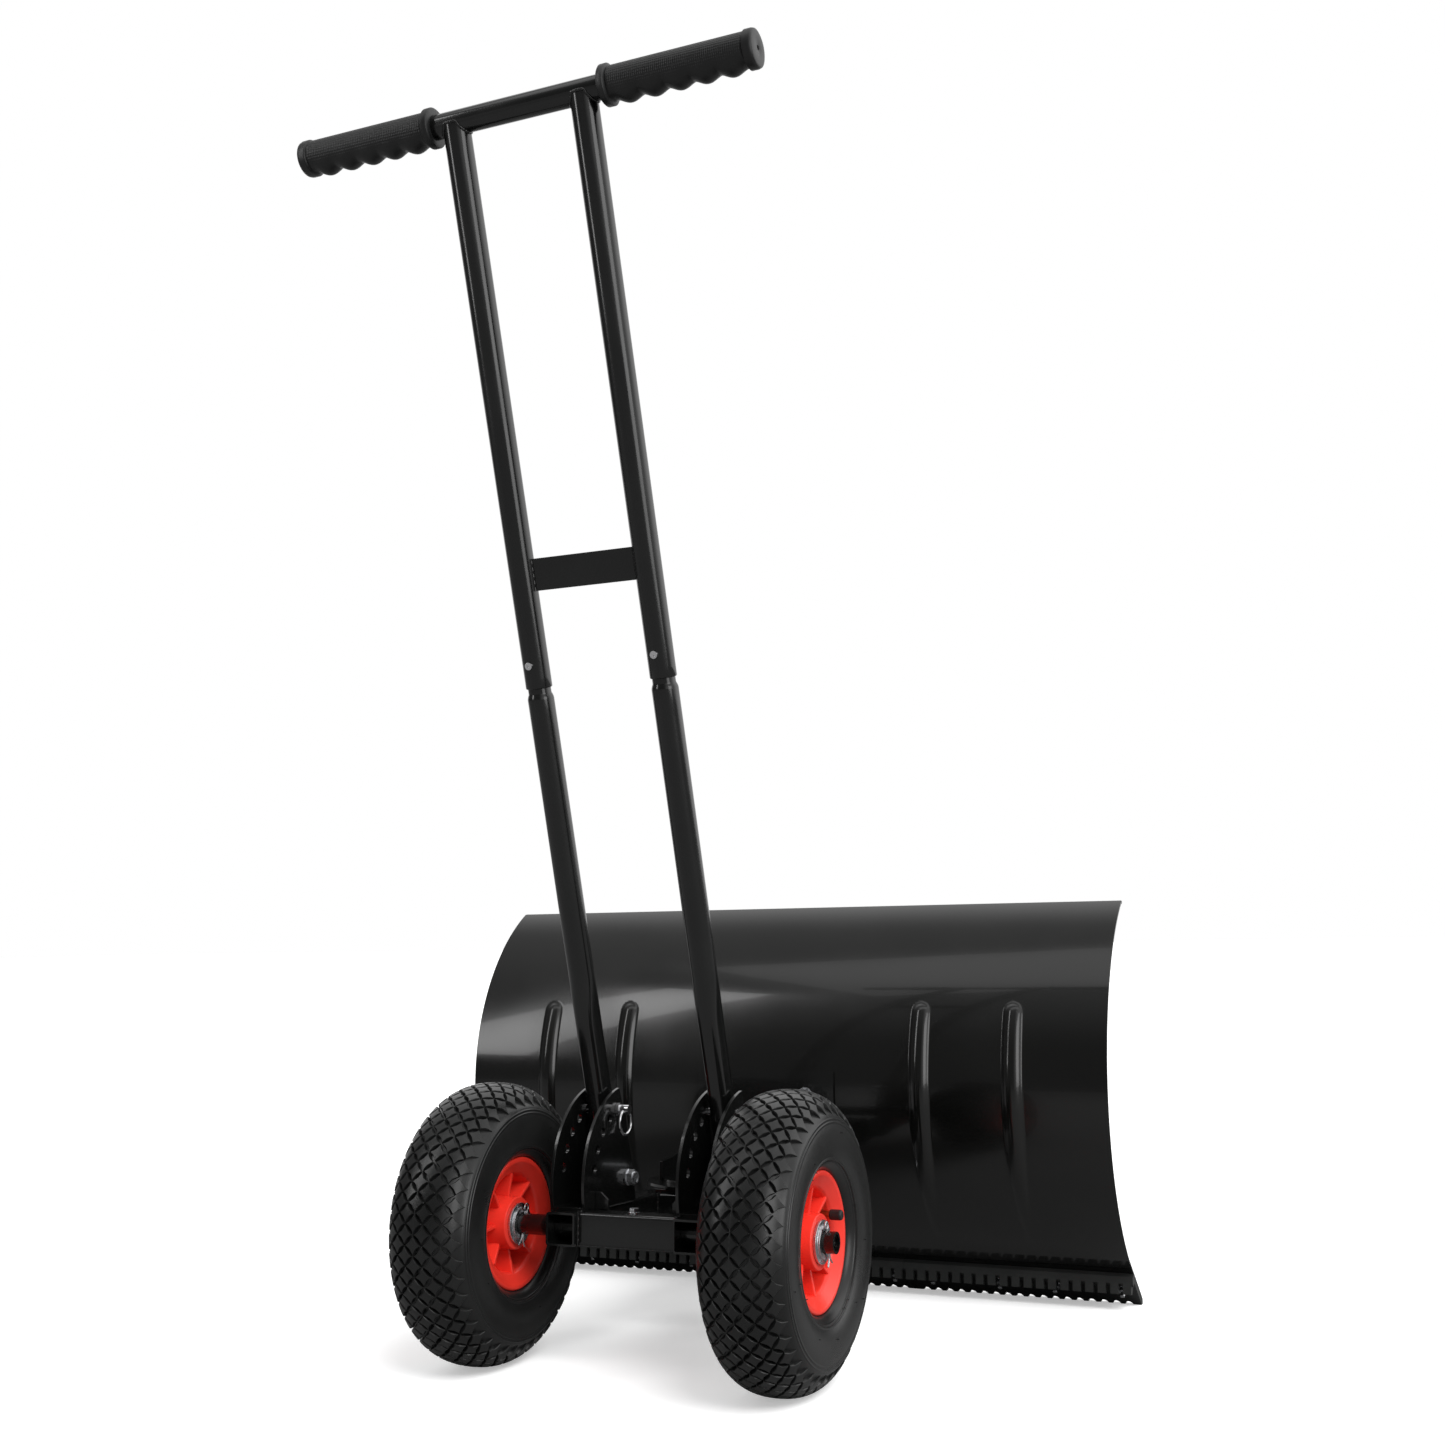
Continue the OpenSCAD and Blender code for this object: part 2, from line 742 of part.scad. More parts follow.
module blade_sheet()
    color("#17181a") difference() {
        lean() union() {
            across(0, blade_w) blade_section();
            difference() {
                for (x = [-rib_outer, -rib_inner, rib_inner, rib_outer])
                    pressed_rib(x);
                translate([0, curve_y, curve_z])
                    rod_x(-blade_w, blade_w, blade_r - blade_t / 2);
            }
        }
        flange_rods(scraper_bolt_r + loose_fit, -10, 10);
        pad_spots() cylinder(r = pivot_r + loose_fit, h = 20, center = true);
    }

// ---- swivel ----

module swivel_holes()
    translate([0, swivel_y, disc_bottom - 1]) {
        cylinder(r = swivel_r + run_fit, h = 20);
        for (a = [-swivel_max : swivel_step : swivel_max])
            rotate(a) translate([0, -swivel_index_r, 0])
                cylinder(r = pin_r + loose_fit, h = 20);
    }

module inside_blade(r)
    translate([0, curve_y, curve_z]) rod_x(-blade_w, blade_w, r);

module swivel_disc()
    color("#141516") lean() difference() {
        translate([0, swivel_y, disc_bottom]) cylinder(r = disc_r, h = disc_t);
        swivel_holes();
        inside_blade(blade_r + pad_t);
    }

// a bent plate with an upright lip along each side, up to the back pad
module blade_cradle()
    color("#141516") lean() difference() {
        union() {
            translate([0, swivel_y, cradle_bottom]) cylinder(r = cradle_r, h = cradle_t);
            translate([-cradle_half, swivel_y - 30, cradle_bottom])
                cube([2 * cradle_half, curve_y - blade_r * 0.6 - swivel_y, cradle_t]);
            for (side = [-1, 1])
                across(side * (cradle_half - cradle_t / 2), cradle_t) polygon([
                    [swivel_y - 38, cradle_bottom], [curve_y - blade_r * 0.8, cradle_bottom],
                    [curve_y - blade_r * 0.8, cradle_top + lip_front],
                    [swivel_y - 38, cradle_top + lip_rear]
                ]);
        }
        swivel_holes();
        inside_blade(blade_r + pad_t);
    }

module back_pad()
    color("#141516") difference() {
        lean() across(0, 2 * pad_half)
            arc_band(blade_r, blade_r + pad_t, pad_low, pad_high);
        pad_spots() cylinder(r = pivot_r + loose_fit, h = 20, center = true);
    }

module pad_bolts()
    color("#c9ccd0") pad_spots() {
        translate([0, 0, -blade_t]) cylinder(r = pivot_r, h = blade_t + pad_t + 9);
        translate([0, 0, -blade_t - 3]) cylinder(r = 9, h = 2.8);
    }

module pad_nuts()
    color("#d6d9dc") pad_spots() translate([0, 0, pad_t]) difference() {
        union() {
            cylinder(r = 8, h = 1.4);
            translate([0, 0, 1.4]) hex(13, 6);
        }
        translate([0, 0, -1]) cylinder(r = pivot_r, h = 20);
    }

module swivel_bolt()
    color("#c9ccd0") lean() translate([0, swivel_y, 0]) {
        translate([0, 0, rail_top - 16]) cylinder(r = swivel_r, h = cradle_top - rail_top + 18);
        translate([0, 0, cradle_top + gap]) cylinder(r = 12, h = 2);
        translate([0, 0, cradle_top + gap + 2]) hex(18, 7.5);
    }

module swivel_nut()
    color("#d6d9dc") lean() translate([0, swivel_y, rail_top]) mirror([0, 0, 1])
        difference() {
            union() {
                cylinder(r = 12, h = 2);
                translate([0, 0, 2]) hex(18, 10);
            }
            translate([0, 0, -1]) cylinder(r = swivel_r, h = 20);
        }

// a drop-in pin with a bent top, from the cradle down into the crossbar
module swivel_pin()
    color("#d6d9dc") lean() translate([0, swivel_pin_y, 0]) {
        translate([0, 0, rail_top - 12]) cylinder(r = pin_r, h = cradle_top - rail_top + 24);
        translate([0, 0, cradle_top + gap]) cylinder(r = 6.5, h = 2);
        translate([0, 0, cradle_top + 12]) sphere(r = pin_r);
        translate([0, 0, cradle_top + 12]) rod_x(0, 26, pin_r);
    }

// ---- scraper ----

// a row of teeth under a slanted body, with a beam and upright ribs behind
module scraper(segment) {
    left = -blade_w / 2 + segment * segment_w + gap / 2;
    width = segment_w - gap;
    color("#1a1b1b") difference() {
        lean() {
            difference() {
                across(left + width / 2, width) difference() {
                    on_flange() {
                        translate([scraper_from, 0])
                            square([toe_s - scraper_from, scraper_t]);
                        translate([flange_len, toe_n - toe_r])
                            square([toe_s - flange_len, 2 * toe_r]);
                        translate([toe_s, toe_n]) circle(r = toe_r);
                    }
                    rotate(lean_deg) translate([0, -tyre_r - 2 * toe_r])
                        square([curve_y, 2 * toe_r]);
                }
                for (i = [1 : teeth - 1])
                    translate([left - gap / 2 + i * tooth_pitch, toe_y, toe_z - toe_r])
                        rotate([90, 0, 0])
                            cylinder(r = tooth_pitch / 3, h = 8 * toe_r, center = true);
            }
            across(left + width / 2, width) on_flange() polygon([
                [scraper_from - 2, scraper_t - 1], [scraper_from + 2, scraper_t + 4.8],
                [scraper_from + 8, scraper_t + 4.8], [scraper_from + 8, scraper_t - 1]
            ]);
            for (i = [0 : teeth - 1])
                across(left + (i + 0.5) * tooth_pitch, tooth_pitch * 0.64) on_flange() polygon([
                    [scraper_from - 2, scraper_t - 1], [scraper_from + 8, rib_deep],
                    [bolt_s - 7, rib_deep - 2.5], [bolt_s - 6, scraper_t - 1]
                ]);
        }
        flange_rods(scraper_bolt_r + loose_fit, -10, 30);
    }
}

module scraper_left() scraper(0);
module scraper_middle() scraper(1);
module scraper_right() scraper(2);

module scraper_bolts()
    color("#c9ccd0") {
        flange_rods(scraper_bolt_r, -blade_t, scraper_t + 10);
        flange_rods(5.5, -blade_t - 2, -blade_t);
    }

module scraper_nuts()
    color("#d6d9dc") difference() {
        union() {
            flange_rods(5, scraper_t, scraper_t + 1);
            flange_rods(4.3, scraper_t + 1, scraper_t + 5);
        }
        flange_rods(scraper_bolt_r, 0, scraper_t + 20);
    }

rail_left();
rail_right();
axle_crossbar();
front_crossbar();
lock_bracket_left();
lock_bracket_right();
corner_gussets();
swivel_base_plate();
axle_tube();
axle_lock_screw();
axle_washers();
cotter_pins();
pivot_bolts();
pivot_nuts();
swivel_bolt();
swivel_nut();
tyre_left();
tyre_right();
inner_tube_left();
inner_tube_right();
rim_outer_left();
rim_outer_right();
rim_inner_left();
rim_inner_right();
hub_bearings_left();
hub_bearings_right();
rim_screws_left();
rim_screws_right();
valve_cap_left();
valve_cap_right();
lower_tube_left();
lower_tube_right();
upper_tube_left();
upper_tube_right();
brace_plate();
cross_handle();
grip_left();
grip_right();
pivot_spacers();
snap_button_left();
snap_button_right();
lock_pin_left();
lock_pin_right();
pin_ring_left();
pin_ring_right();
blade_sheet();
blade_cradle();
swivel_disc();
back_pad();
pad_bolts();
pad_nuts();
swivel_pin();
scraper_left();
scraper_middle();
scraper_right();
scraper_bolts();
scraper_nuts();
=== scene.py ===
# Wheeled snow shovel: the finishes, and the pieces whose shape needs more than the plain solids.
import json
import math
import bmesh
import bpy
import numpy as np
from mathutils import Matrix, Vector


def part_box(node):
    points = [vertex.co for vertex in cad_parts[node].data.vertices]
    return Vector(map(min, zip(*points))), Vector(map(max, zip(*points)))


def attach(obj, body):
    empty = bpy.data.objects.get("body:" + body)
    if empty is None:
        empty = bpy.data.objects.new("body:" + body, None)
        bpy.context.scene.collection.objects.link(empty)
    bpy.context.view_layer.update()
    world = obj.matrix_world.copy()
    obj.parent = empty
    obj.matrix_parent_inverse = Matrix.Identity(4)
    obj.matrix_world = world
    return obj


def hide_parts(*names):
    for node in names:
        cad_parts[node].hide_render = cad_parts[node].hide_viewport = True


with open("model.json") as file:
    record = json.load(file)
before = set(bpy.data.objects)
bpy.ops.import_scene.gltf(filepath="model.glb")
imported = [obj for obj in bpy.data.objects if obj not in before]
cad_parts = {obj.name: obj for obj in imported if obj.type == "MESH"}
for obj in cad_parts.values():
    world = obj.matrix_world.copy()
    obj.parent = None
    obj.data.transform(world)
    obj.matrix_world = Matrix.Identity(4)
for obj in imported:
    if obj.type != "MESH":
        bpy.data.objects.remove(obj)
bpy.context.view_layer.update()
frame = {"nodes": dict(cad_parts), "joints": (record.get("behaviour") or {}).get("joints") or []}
nodes = frame["nodes"]
joints = {joint["name"]: joint for joint in frame["joints"]}
print("frame loaded:", len(nodes), "nodes")


# ---- axes ----

def unit(vector):
    vector = np.asarray(vector, float)
    return vector / np.linalg.norm(vector)


class Axes:
    # an origin and three directions; at() carries local points to where they lie
    def __init__(self, origin, x, y, z):
        self.origin = np.asarray(origin, float)
        self.turn = np.array([x, y, z], float)

    def at(self, points):
        return self.origin + np.asarray(points, float) @ self.turn


def jointPoint(name):
    return np.array(joints[name]["pos_m"], float)


def boxMiddle(node):
    low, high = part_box(node)
    return np.array(low + high) / 2


across = np.array([1.0, 0, 0])
swivelUp = unit(joints["blade_swivel"]["axis"])
axleMiddle = jointPoint("wheel_left_spin") * [0, 1, 1]
level = Axes(axleMiddle, across, np.cross(swivelUp, across), swivelUp)  # the frame's own level
pivot = jointPoint("handle_fold") * [0, 1, 1]
tubeUp = unit(boxMiddle("cross_handle") * [0, 1, 1] - pivot)
handle = Axes(pivot, across, np.cross(tubeUp, across), tubeUp)  # z runs along the tubes
handleLength = float(np.linalg.norm(boxMiddle("cross_handle") * [0, 1, 1] - pivot))
sides = {"left": -1, "right": 1}


def wheelAxes(side):
    # x forwards, y up, z outwards along the axle
    return Axes(jointPoint(f"wheel_{side}_spin"), (0, 1, 0), (0, 0, 1), (sides[side], 0, 0))


# ---- meshes ----

def finishMesh(mesh, sharp):
    # merges doubles, points the faces outwards and keeps edges over `sharp` degrees crisp
    shell = bmesh.new()
    shell.from_mesh(mesh)
    bmesh.ops.remove_doubles(shell, verts=shell.verts, dist=2e-6)
    bmesh.ops.recalc_face_normals(shell, faces=shell.faces)
    shell.to_mesh(mesh)
    shell.free()
    mesh.shade_smooth()
    mesh.set_sharp_from_angle(angle=math.radians(sharp))


def piece(name, patches, body, paint, replaces=(), sharp=40):
    # patches are (points, loopU, loopV); points has shape (..., nu, nv, 3)
    corners, faces, first = [], [], 0
    for points, loopU, loopV in patches:
        grid = points.reshape(-1, *points.shape[-3:])
        index = first + np.arange(grid[..., 0].size).reshape(grid.shape[:3])
        if loopU:
            index = np.concatenate([index, index[:, :1]], 1)
        if loopV:
            index = np.concatenate([index, index[:, :, :1]], 2)
        quads = [index[:, :-1, :-1], index[:, 1:, :-1], index[:, 1:, 1:], index[:, :-1, 1:]]
        faces.append(np.stack(quads, -1).reshape(-1, 4))
        corners.append(grid.reshape(-1, 3))
        first += len(corners[-1])
    mesh = bpy.data.meshes.new(name)
    mesh.from_pydata(np.concatenate(corners).tolist(), [], np.concatenate(faces).tolist())
    finishMesh(mesh, sharp)
    return place(name, mesh, body, paint, replaces)


def place(name, mesh, body, paint, replaces):
    made = bpy.data.objects.new(name, mesh)
    bpy.context.scene.collection.objects.link(made)
    mesh.materials.clear()
    mesh.materials.append(paint)
    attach(made, body)
    if replaces:
        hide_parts(*replaces)
    return made


def rounded(points, radius, steps=5, closed=True):
    # each corner of a line becomes a short parabola that starts `radius` before it
    points = np.asarray(points, float)
    before, after = np.roll(points, 1, 0) - points, np.roll(points, -1, 0) - points
    longBefore = np.linalg.norm(before, axis=1, keepdims=True)
    longAfter = np.linalg.norm(after, axis=1, keepdims=True)
    start = points + before / longBefore * np.minimum(radius, longBefore * 0.45)
    end = points + after / longAfter * np.minimum(radius, longAfter * 0.45)
    if not closed:
        start[0] = end[0] = points[0]
        start[-1] = end[-1] = points[-1]
    t = np.linspace(0, 1, steps)[:, None, None]
    curve = (1 - t) ** 2 * start + 2 * t * (1 - t) * points + t ** 2 * end
    return curve.transpose(1, 0, 2).reshape(-1, points.shape[1])


def circleOf(count, start=0.0):
    return start + np.arange(count) * 2 * math.pi / count


def lathe(axes, profile, turns=96, closed=True):
    # (radius, height) carried round the z axis
    angle = circleOf(turns)[:, None]
    radius, height = profile[:, 0], profile[:, 1]
    points = [np.cos(angle) * radius, np.sin(angle) * radius, height + 0 * angle]
    return axes.at(np.stack(points, -1)), True, closed


def sweep(path, thickness, normal, sections=12, closed=False, axes=level):
    # a round section carried along a line; `normal` is any direction off the line
    path = np.asarray(path, float)
    along = np.roll(path, -1, 0) - np.roll(path, 1, 0) if closed else np.gradient(path, axis=0)
    along /= np.linalg.norm(along, axis=1, keepdims=True)
    side = np.cross(along, normal)
    side /= np.linalg.norm(side, axis=1, keepdims=True)
    up = np.cross(side, along)
    size = np.broadcast_to(thickness, len(path)).copy()
    if not closed:  # the ends draw in to a point
        path = np.concatenate([path[:1], path, path[-1:]])
        side = np.concatenate([side[:1], side, side[-1:]])
        up = np.concatenate([up[:1], up, up[-1:]])
        size = np.concatenate([[0], size, [0]])
    angle = circleOf(sections)[None, :, None]
    ring = side[:, None] * np.cos(angle) + up[:, None] * np.sin(angle)
    return axes.at(path[:, None] + ring * size[:, None, None]), closed, True


def softened(node, body, paint, edge=0.0005, sharp=30):
    # a copy of a plain solid, with its flat triangles merged and its edges broken
    mesh = nodes[node].data.copy()
    mesh.name = node + "_finished"
    shell = bmesh.new()
    shell.from_mesh(mesh)
    bmesh.ops.remove_doubles(shell, verts=shell.verts, dist=1e-6)
    bmesh.ops.dissolve_limit(shell, angle_limit=math.radians(0.5), verts=shell.verts, edges=shell.edges)
    shell.to_mesh(mesh)
    shell.free()
    mesh.shade_smooth()
    mesh.set_sharp_from_angle(angle=math.radians(sharp))
    made = place(node + "_finished", mesh, body, paint, [node])
    if edge:
        bevel = made.modifiers.new("edges", "BEVEL")
        bevel.width = edge
        bevel.segments = 2
        bevel.limit_method = "ANGLE"
        bevel.angle_limit = math.radians(sharp)
        bevel.harden_normals = True
        bevel.use_clamp_overlap = True
    return made


# ---- shader wires ----

class Wire:
    # a socket that can be added, multiplied and so on; each sum is a Math node
    def __init__(self, paint, socket):
        self.paint = paint
        self.socket = socket

    def math(self, operation, *values):
        return self.paint.node("ShaderNodeMath", {"operation": operation}, dict(enumerate(values)))

    def __add__(self, other):
        return self.math("ADD", self, other)

    def __mul__(self, other):
        return self.math("MULTIPLY", self, other)

    def __sub__(self, other):
        return self.math("SUBTRACT", self, other)

    def __rsub__(self, other):
        return self.math("SUBTRACT", other, self)

    def above(self, level, width):
        # 0 below the level, rising to 1 over the width
        settings = {"interpolation_type": "SMOOTHSTEP"}
        values = {0: self, 1: level, 2: level + width}
        return self.paint.node("ShaderNodeMapRange", settings, values)

    __radd__ = __add__
    __rmul__ = __mul__


class Tree:
    # the nodes of one material, or of the room
    def __init__(self, tree):
        self.tree = tree

    def node(self, kind, settings, values, output=0):
        made = self.tree.nodes.new(kind)
        for name, value in settings.items():
            setattr(made, name, value)
        for name, value in values.items():
            self.feed(made.inputs[name], value)
        return Wire(self, made.outputs[output])

    def feed(self, socket, value):
        if isinstance(value, Wire):
            self.tree.links.new(value.socket, socket)
        else:
            socket.default_value = value

    def noise(self, scale, detail=3.0, roughness=0.55, vector=None):
        values = {"Vector": vector or self.place, "Scale": scale, "Detail": detail, "Roughness": roughness}
        return self.node("ShaderNodeTexNoise", {}, values, "Fac")

    def stretched(self, scale):
        return self.node("ShaderNodeVectorMath", {"operation": "MULTIPLY"}, {0: self.place, 1: scale})

    def mix(self, factor, first, second):
        values = {0: factor, 6: first, 7: second}
        return self.node("ShaderNodeMix", {"data_type": "RGBA"}, values, 2)

    def bump(self, height, distance, before=None):
        values = {"Height": height, "Distance": distance}
        if before:
            values["Normal"] = before
        return self.node("ShaderNodeBump", {}, values)

class Paint(Tree):
    # one material: the shader's fixed values first, then whatever changes over the surface
    def __init__(self, name, fixed):
        self.material = bpy.data.materials.new(name)
        self.material.use_nodes = True
        super().__init__(self.material.node_tree)
        self.shader = self.tree.nodes["Principled BSDF"]
        for socket, value in fixed.items():
            self.shader.inputs[socket].default_value = value
        self.place = self.node("ShaderNodeTexCoord", {}, {}, "Object")

    def finish(self, colour, roughness, normal):
        self.feed(self.shader.inputs["Base Color"], colour)
        self.feed(self.shader.inputs["Roughness"], roughness)
        self.feed(self.shader.inputs["Normal"], normal)
        return self.material


# ---- finishes ----

def glossPaint(name, look):
    # stoved paint: orange peel, slow waves in the sheet, a little dust and handling haze
    paint = Paint(name, {"IOR": look["ior"], "Coat Weight": look["coat"], "Coat Roughness": 0.04})
    haze = paint.noise(look["hazeScale"], 4.0).above(0.42, 0.3)
    specks = paint.noise(1400.0, 1.0).above(0.72, 0.06)
    dusty = paint.mix(haze * 0.35 + specks * 0.5, look["colour"], look["dust"])
    rough = look["rough"] + haze * look["haze"] + specks * 0.12
    waves = paint.bump(paint.noise(look["waveScale"], 1.0), look["wave"])
    return paint.finish(dusty, rough, paint.bump(paint.noise(620.0, 2.0), look["peel"], waves))


def platedSteel(name, look):
    # bright plating: fine draw lines, a slow change of tone, dull spots
    paint = Paint(name, {"Metallic": 1.0})
    tone = paint.noise(look["toneScale"], 4.0)
    lines = paint.noise(1.0, 3.0, 0.6, paint.stretched(look["lines"]))
    spots = paint.noise(900.0, 2.0).above(0.62, 0.1)
    colour = paint.mix(tone.above(0.35, 0.4), look["light"], look["dark"])
    rough = look["rough"] + tone * look["vary"] + spots * 0.1
    return paint.finish(colour, rough, paint.bump(lines + spots * 0.4, look["depth"]))


def mouldedPlastic(name, look):
    # moulded plastic: fine spark texture, faint flow marks and scuffs
    paint = Paint(name, {"IOR": 1.48, "Coat Weight": look["coat"], "Coat Roughness": 0.12})
    flow = paint.noise(look["flowScale"], 3.0, 0.6, paint.stretched((1.0, 0.4, 1.6)))
    scuffs = paint.noise(160.0, 5.0, 0.7).above(0.6, 0.15)
    colour = paint.mix(flow.above(0.3, 0.5), look["colour"], look["second"])
    rough = look["rough"] + flow * 0.08 + scuffs * look["scuff"]
    grain = paint.noise(1500.0, 2.0) + paint.noise(90.0, 2.0) * 0.6
    return paint.finish(colour, rough, paint.bump(grain, look["depth"]))


def rubber(name, look):
    # rubber: mould bloom in grey patches at random, and fine pores
    paint = Paint(name, {"IOR": 1.5, "Sheen Weight": 0.03, "Sheen Roughness": 0.5})
    bloom = paint.noise(look["bloomScale"], 5.0, 0.6)
    pores = paint.noise(1100.0, 2.0)
    colour = paint.mix(bloom.above(0.38, 0.35), look["colour"], look["bloom"])
    rough = look["rough"] + bloom * 0.14 + pores * 0.05
    grain = pores + paint.noise(260.0, 3.0) * 0.8
    return paint.finish(colour, rough, paint.bump(grain, look["depth"]))


powderCoat = glossPaint("black powder coat", {
    "colour": (0.0034, 0.0036, 0.0035, 1), "dust": (0.007, 0.0074, 0.007, 1), "ior": 1.5, "coat": 0.3,
    "rough": 0.17, "haze": 0.07, "hazeScale": 14.0, "wave": 0.0004, "waveScale": 18.0, "peel": 0.00002})
bladeEnamel = glossPaint("blade enamel", {
    "colour": (0.0032, 0.0033, 0.003, 1), "dust": (0.007, 0.007, 0.0065, 1), "ior": 1.5, "coat": 0.3,
    "rough": 0.16, "haze": 0.06, "hazeScale": 7.0, "wave": 0.0012, "waveScale": 7.0, "peel": 0.00001})
zinc = platedSteel("bright zinc", {
    "light": (0.72, 0.73, 0.75, 1), "dark": (0.55, 0.56, 0.58, 1), "rough": 0.2, "vary": 0.14,
    "toneScale": 120.0, "lines": (300.0, 1500.0, 300.0), "depth": 0.000003})
chrome = platedSteel("chrome", {
    "light": (0.82, 0.82, 0.83, 1), "dark": (0.72, 0.72, 0.74, 1), "rough": 0.06, "vary": 0.05,
    "toneScale": 60.0, "lines": (500.0, 500.0, 1500.0), "depth": 0.000001})
brass = platedSteel("brass", {
    "light": (0.62, 0.42, 0.16, 1), "dark": (0.42, 0.26, 0.1, 1), "rough": 0.28, "vary": 0.15,
    "toneScale": 200.0, "lines": (900.0, 900.0, 900.0), "depth": 0.000004})
rimRed = mouldedPlastic("red rim plastic", {
    "colour": (0.86, 0.042, 0.026, 1), "second": (0.8, 0.034, 0.02, 1), "rough": 0.3, "scuff": 0.08,
    "coat": 0.15, "flowScale": 22.0, "depth": 0.00002})
scraperBlack = mouldedPlastic("scraper plastic", {
    "colour": (0.016, 0.017, 0.0165, 1), "second": (0.024, 0.025, 0.024, 1), "rough": 0.42, "scuff": 0.12,
    "coat": 0.0, "flowScale": 30.0, "depth": 0.00005})
capBlack = mouldedPlastic("cap plastic", {
    "colour": (0.012, 0.012, 0.012, 1), "second": (0.018, 0.018, 0.018, 1), "rough": 0.36, "scuff": 0.1,
    "coat": 0.0, "flowScale": 60.0, "depth": 0.00004})
tyreRubber = rubber("tyre rubber", {
    "colour": (0.0055, 0.0057, 0.0056, 1), "bloom": (0.0095, 0.0099, 0.0097, 1), "rough": 0.2,
    "bloomScale": 16.0, "depth": 0.00005})
gripRubber = rubber("grip rubber", {
    "colour": (0.0045, 0.0047, 0.0048, 1), "bloom": (0.008, 0.0083, 0.0085, 1), "rough": 0.32,
    "bloomScale": 22.0, "depth": 0.00004})
tubeRubber = rubber("air tube rubber", {
    "colour": (0.02, 0.02, 0.02, 1), "bloom": (0.03, 0.03, 0.03, 1), "rough": 0.5,
    "bloomScale": 30.0, "depth": 0.00005})
print("finishes made")


# ---- camera, light and floor ----

view = {"spot": (0.7306, -1.8583, 0.4038), "yaw": 24.1, "pitch": 6.95, "roll": -1.09, "lens": 41.93}


def aim(spot, forward, roll=0.0):
    # a matrix that looks along `forward`, turned by `roll` degrees about it
    forward = unit(forward)
    right = unit(np.cross(forward, (0, 0, 1)))
    up = np.cross(right, forward)
    c, s = math.cos(math.radians(roll)), math.sin(math.radians(roll))
    matrix = np.eye(4)
    matrix[:3, :3] = np.stack([right * c + up * s, up * c - right * s, -forward], 1)
    matrix[:3, 3] = spot
    return Matrix(matrix.tolist())


def makeCamera():
    yaw, pitch = math.radians(view["yaw"]), math.radians(view["pitch"])
    forward = (-math.sin(yaw) * math.cos(pitch), math.cos(yaw) * math.cos(pitch), math.sin(pitch))
    lens = bpy.data.cameras.new("camera")
    lens.sensor_width = 36.0
    lens.lens = view["lens"]
    camera = bpy.data.objects.new("camera", lens)
    bpy.context.scene.collection.objects.link(camera)
    camera.matrix_world = aim(view["spot"], forward, view["roll"])
    bpy.context.scene.camera = camera


softBoxes = {  # mirrored: seen in the gloss of the paint
    "left": {"spot": (-1.5, -1.9, 1.6), "size": (0.35, 1.8), "power": 9, "mirrored": True},
    "right": {"spot": (2.4, -1.5, 1.0), "size": (1.2, 1.6), "power": 14, "mirrored": True},
    "overhead": {"spot": (0.3, -0.9, 3.0), "size": (3.4, 1.2), "power": 9, "mirrored": True},
}
sunLight = {"from": (0.75, -0.65, 1.0), "strength": 2.2, "angle": 30}
lightAim = np.array((0, -0.25, 0.4))


def makeLights():
    for name, box in softBoxes.items():
        lamp = bpy.data.lights.new(name, "AREA")
        lamp.shape = "RECTANGLE"
        lamp.size, lamp.size_y = box["size"]
        lamp.energy = box["power"]
        hang(name, lamp, box["spot"], lightAim - box["spot"], box["mirrored"])
    sun = bpy.data.lights.new("sun", "SUN")
    sun.energy = sunLight["strength"]
    sun.angle = math.radians(sunLight["angle"])
    hang("sun", sun, sunLight["from"], -np.array(sunLight["from"]), False)


def hang(name, lamp, spot, forward, mirrored):
    made = bpy.data.objects.new(name, lamp)
    bpy.context.scene.collection.objects.link(made)
    made.matrix_world = aim(spot, forward)
    made.visible_glossy = mirrored


studio = {"seen": (1.0, 1.0, 1.0, 1), "low": 0.12, "high": 0.3, "back": 0.8, "side": 0.7,
          "floor": (0.95, 0.95, 0.95, 1), "floorBounce": (0.22, 0.22, 0.22, 1), "floorGlow": 0.4,
          "floorHalf": 30}


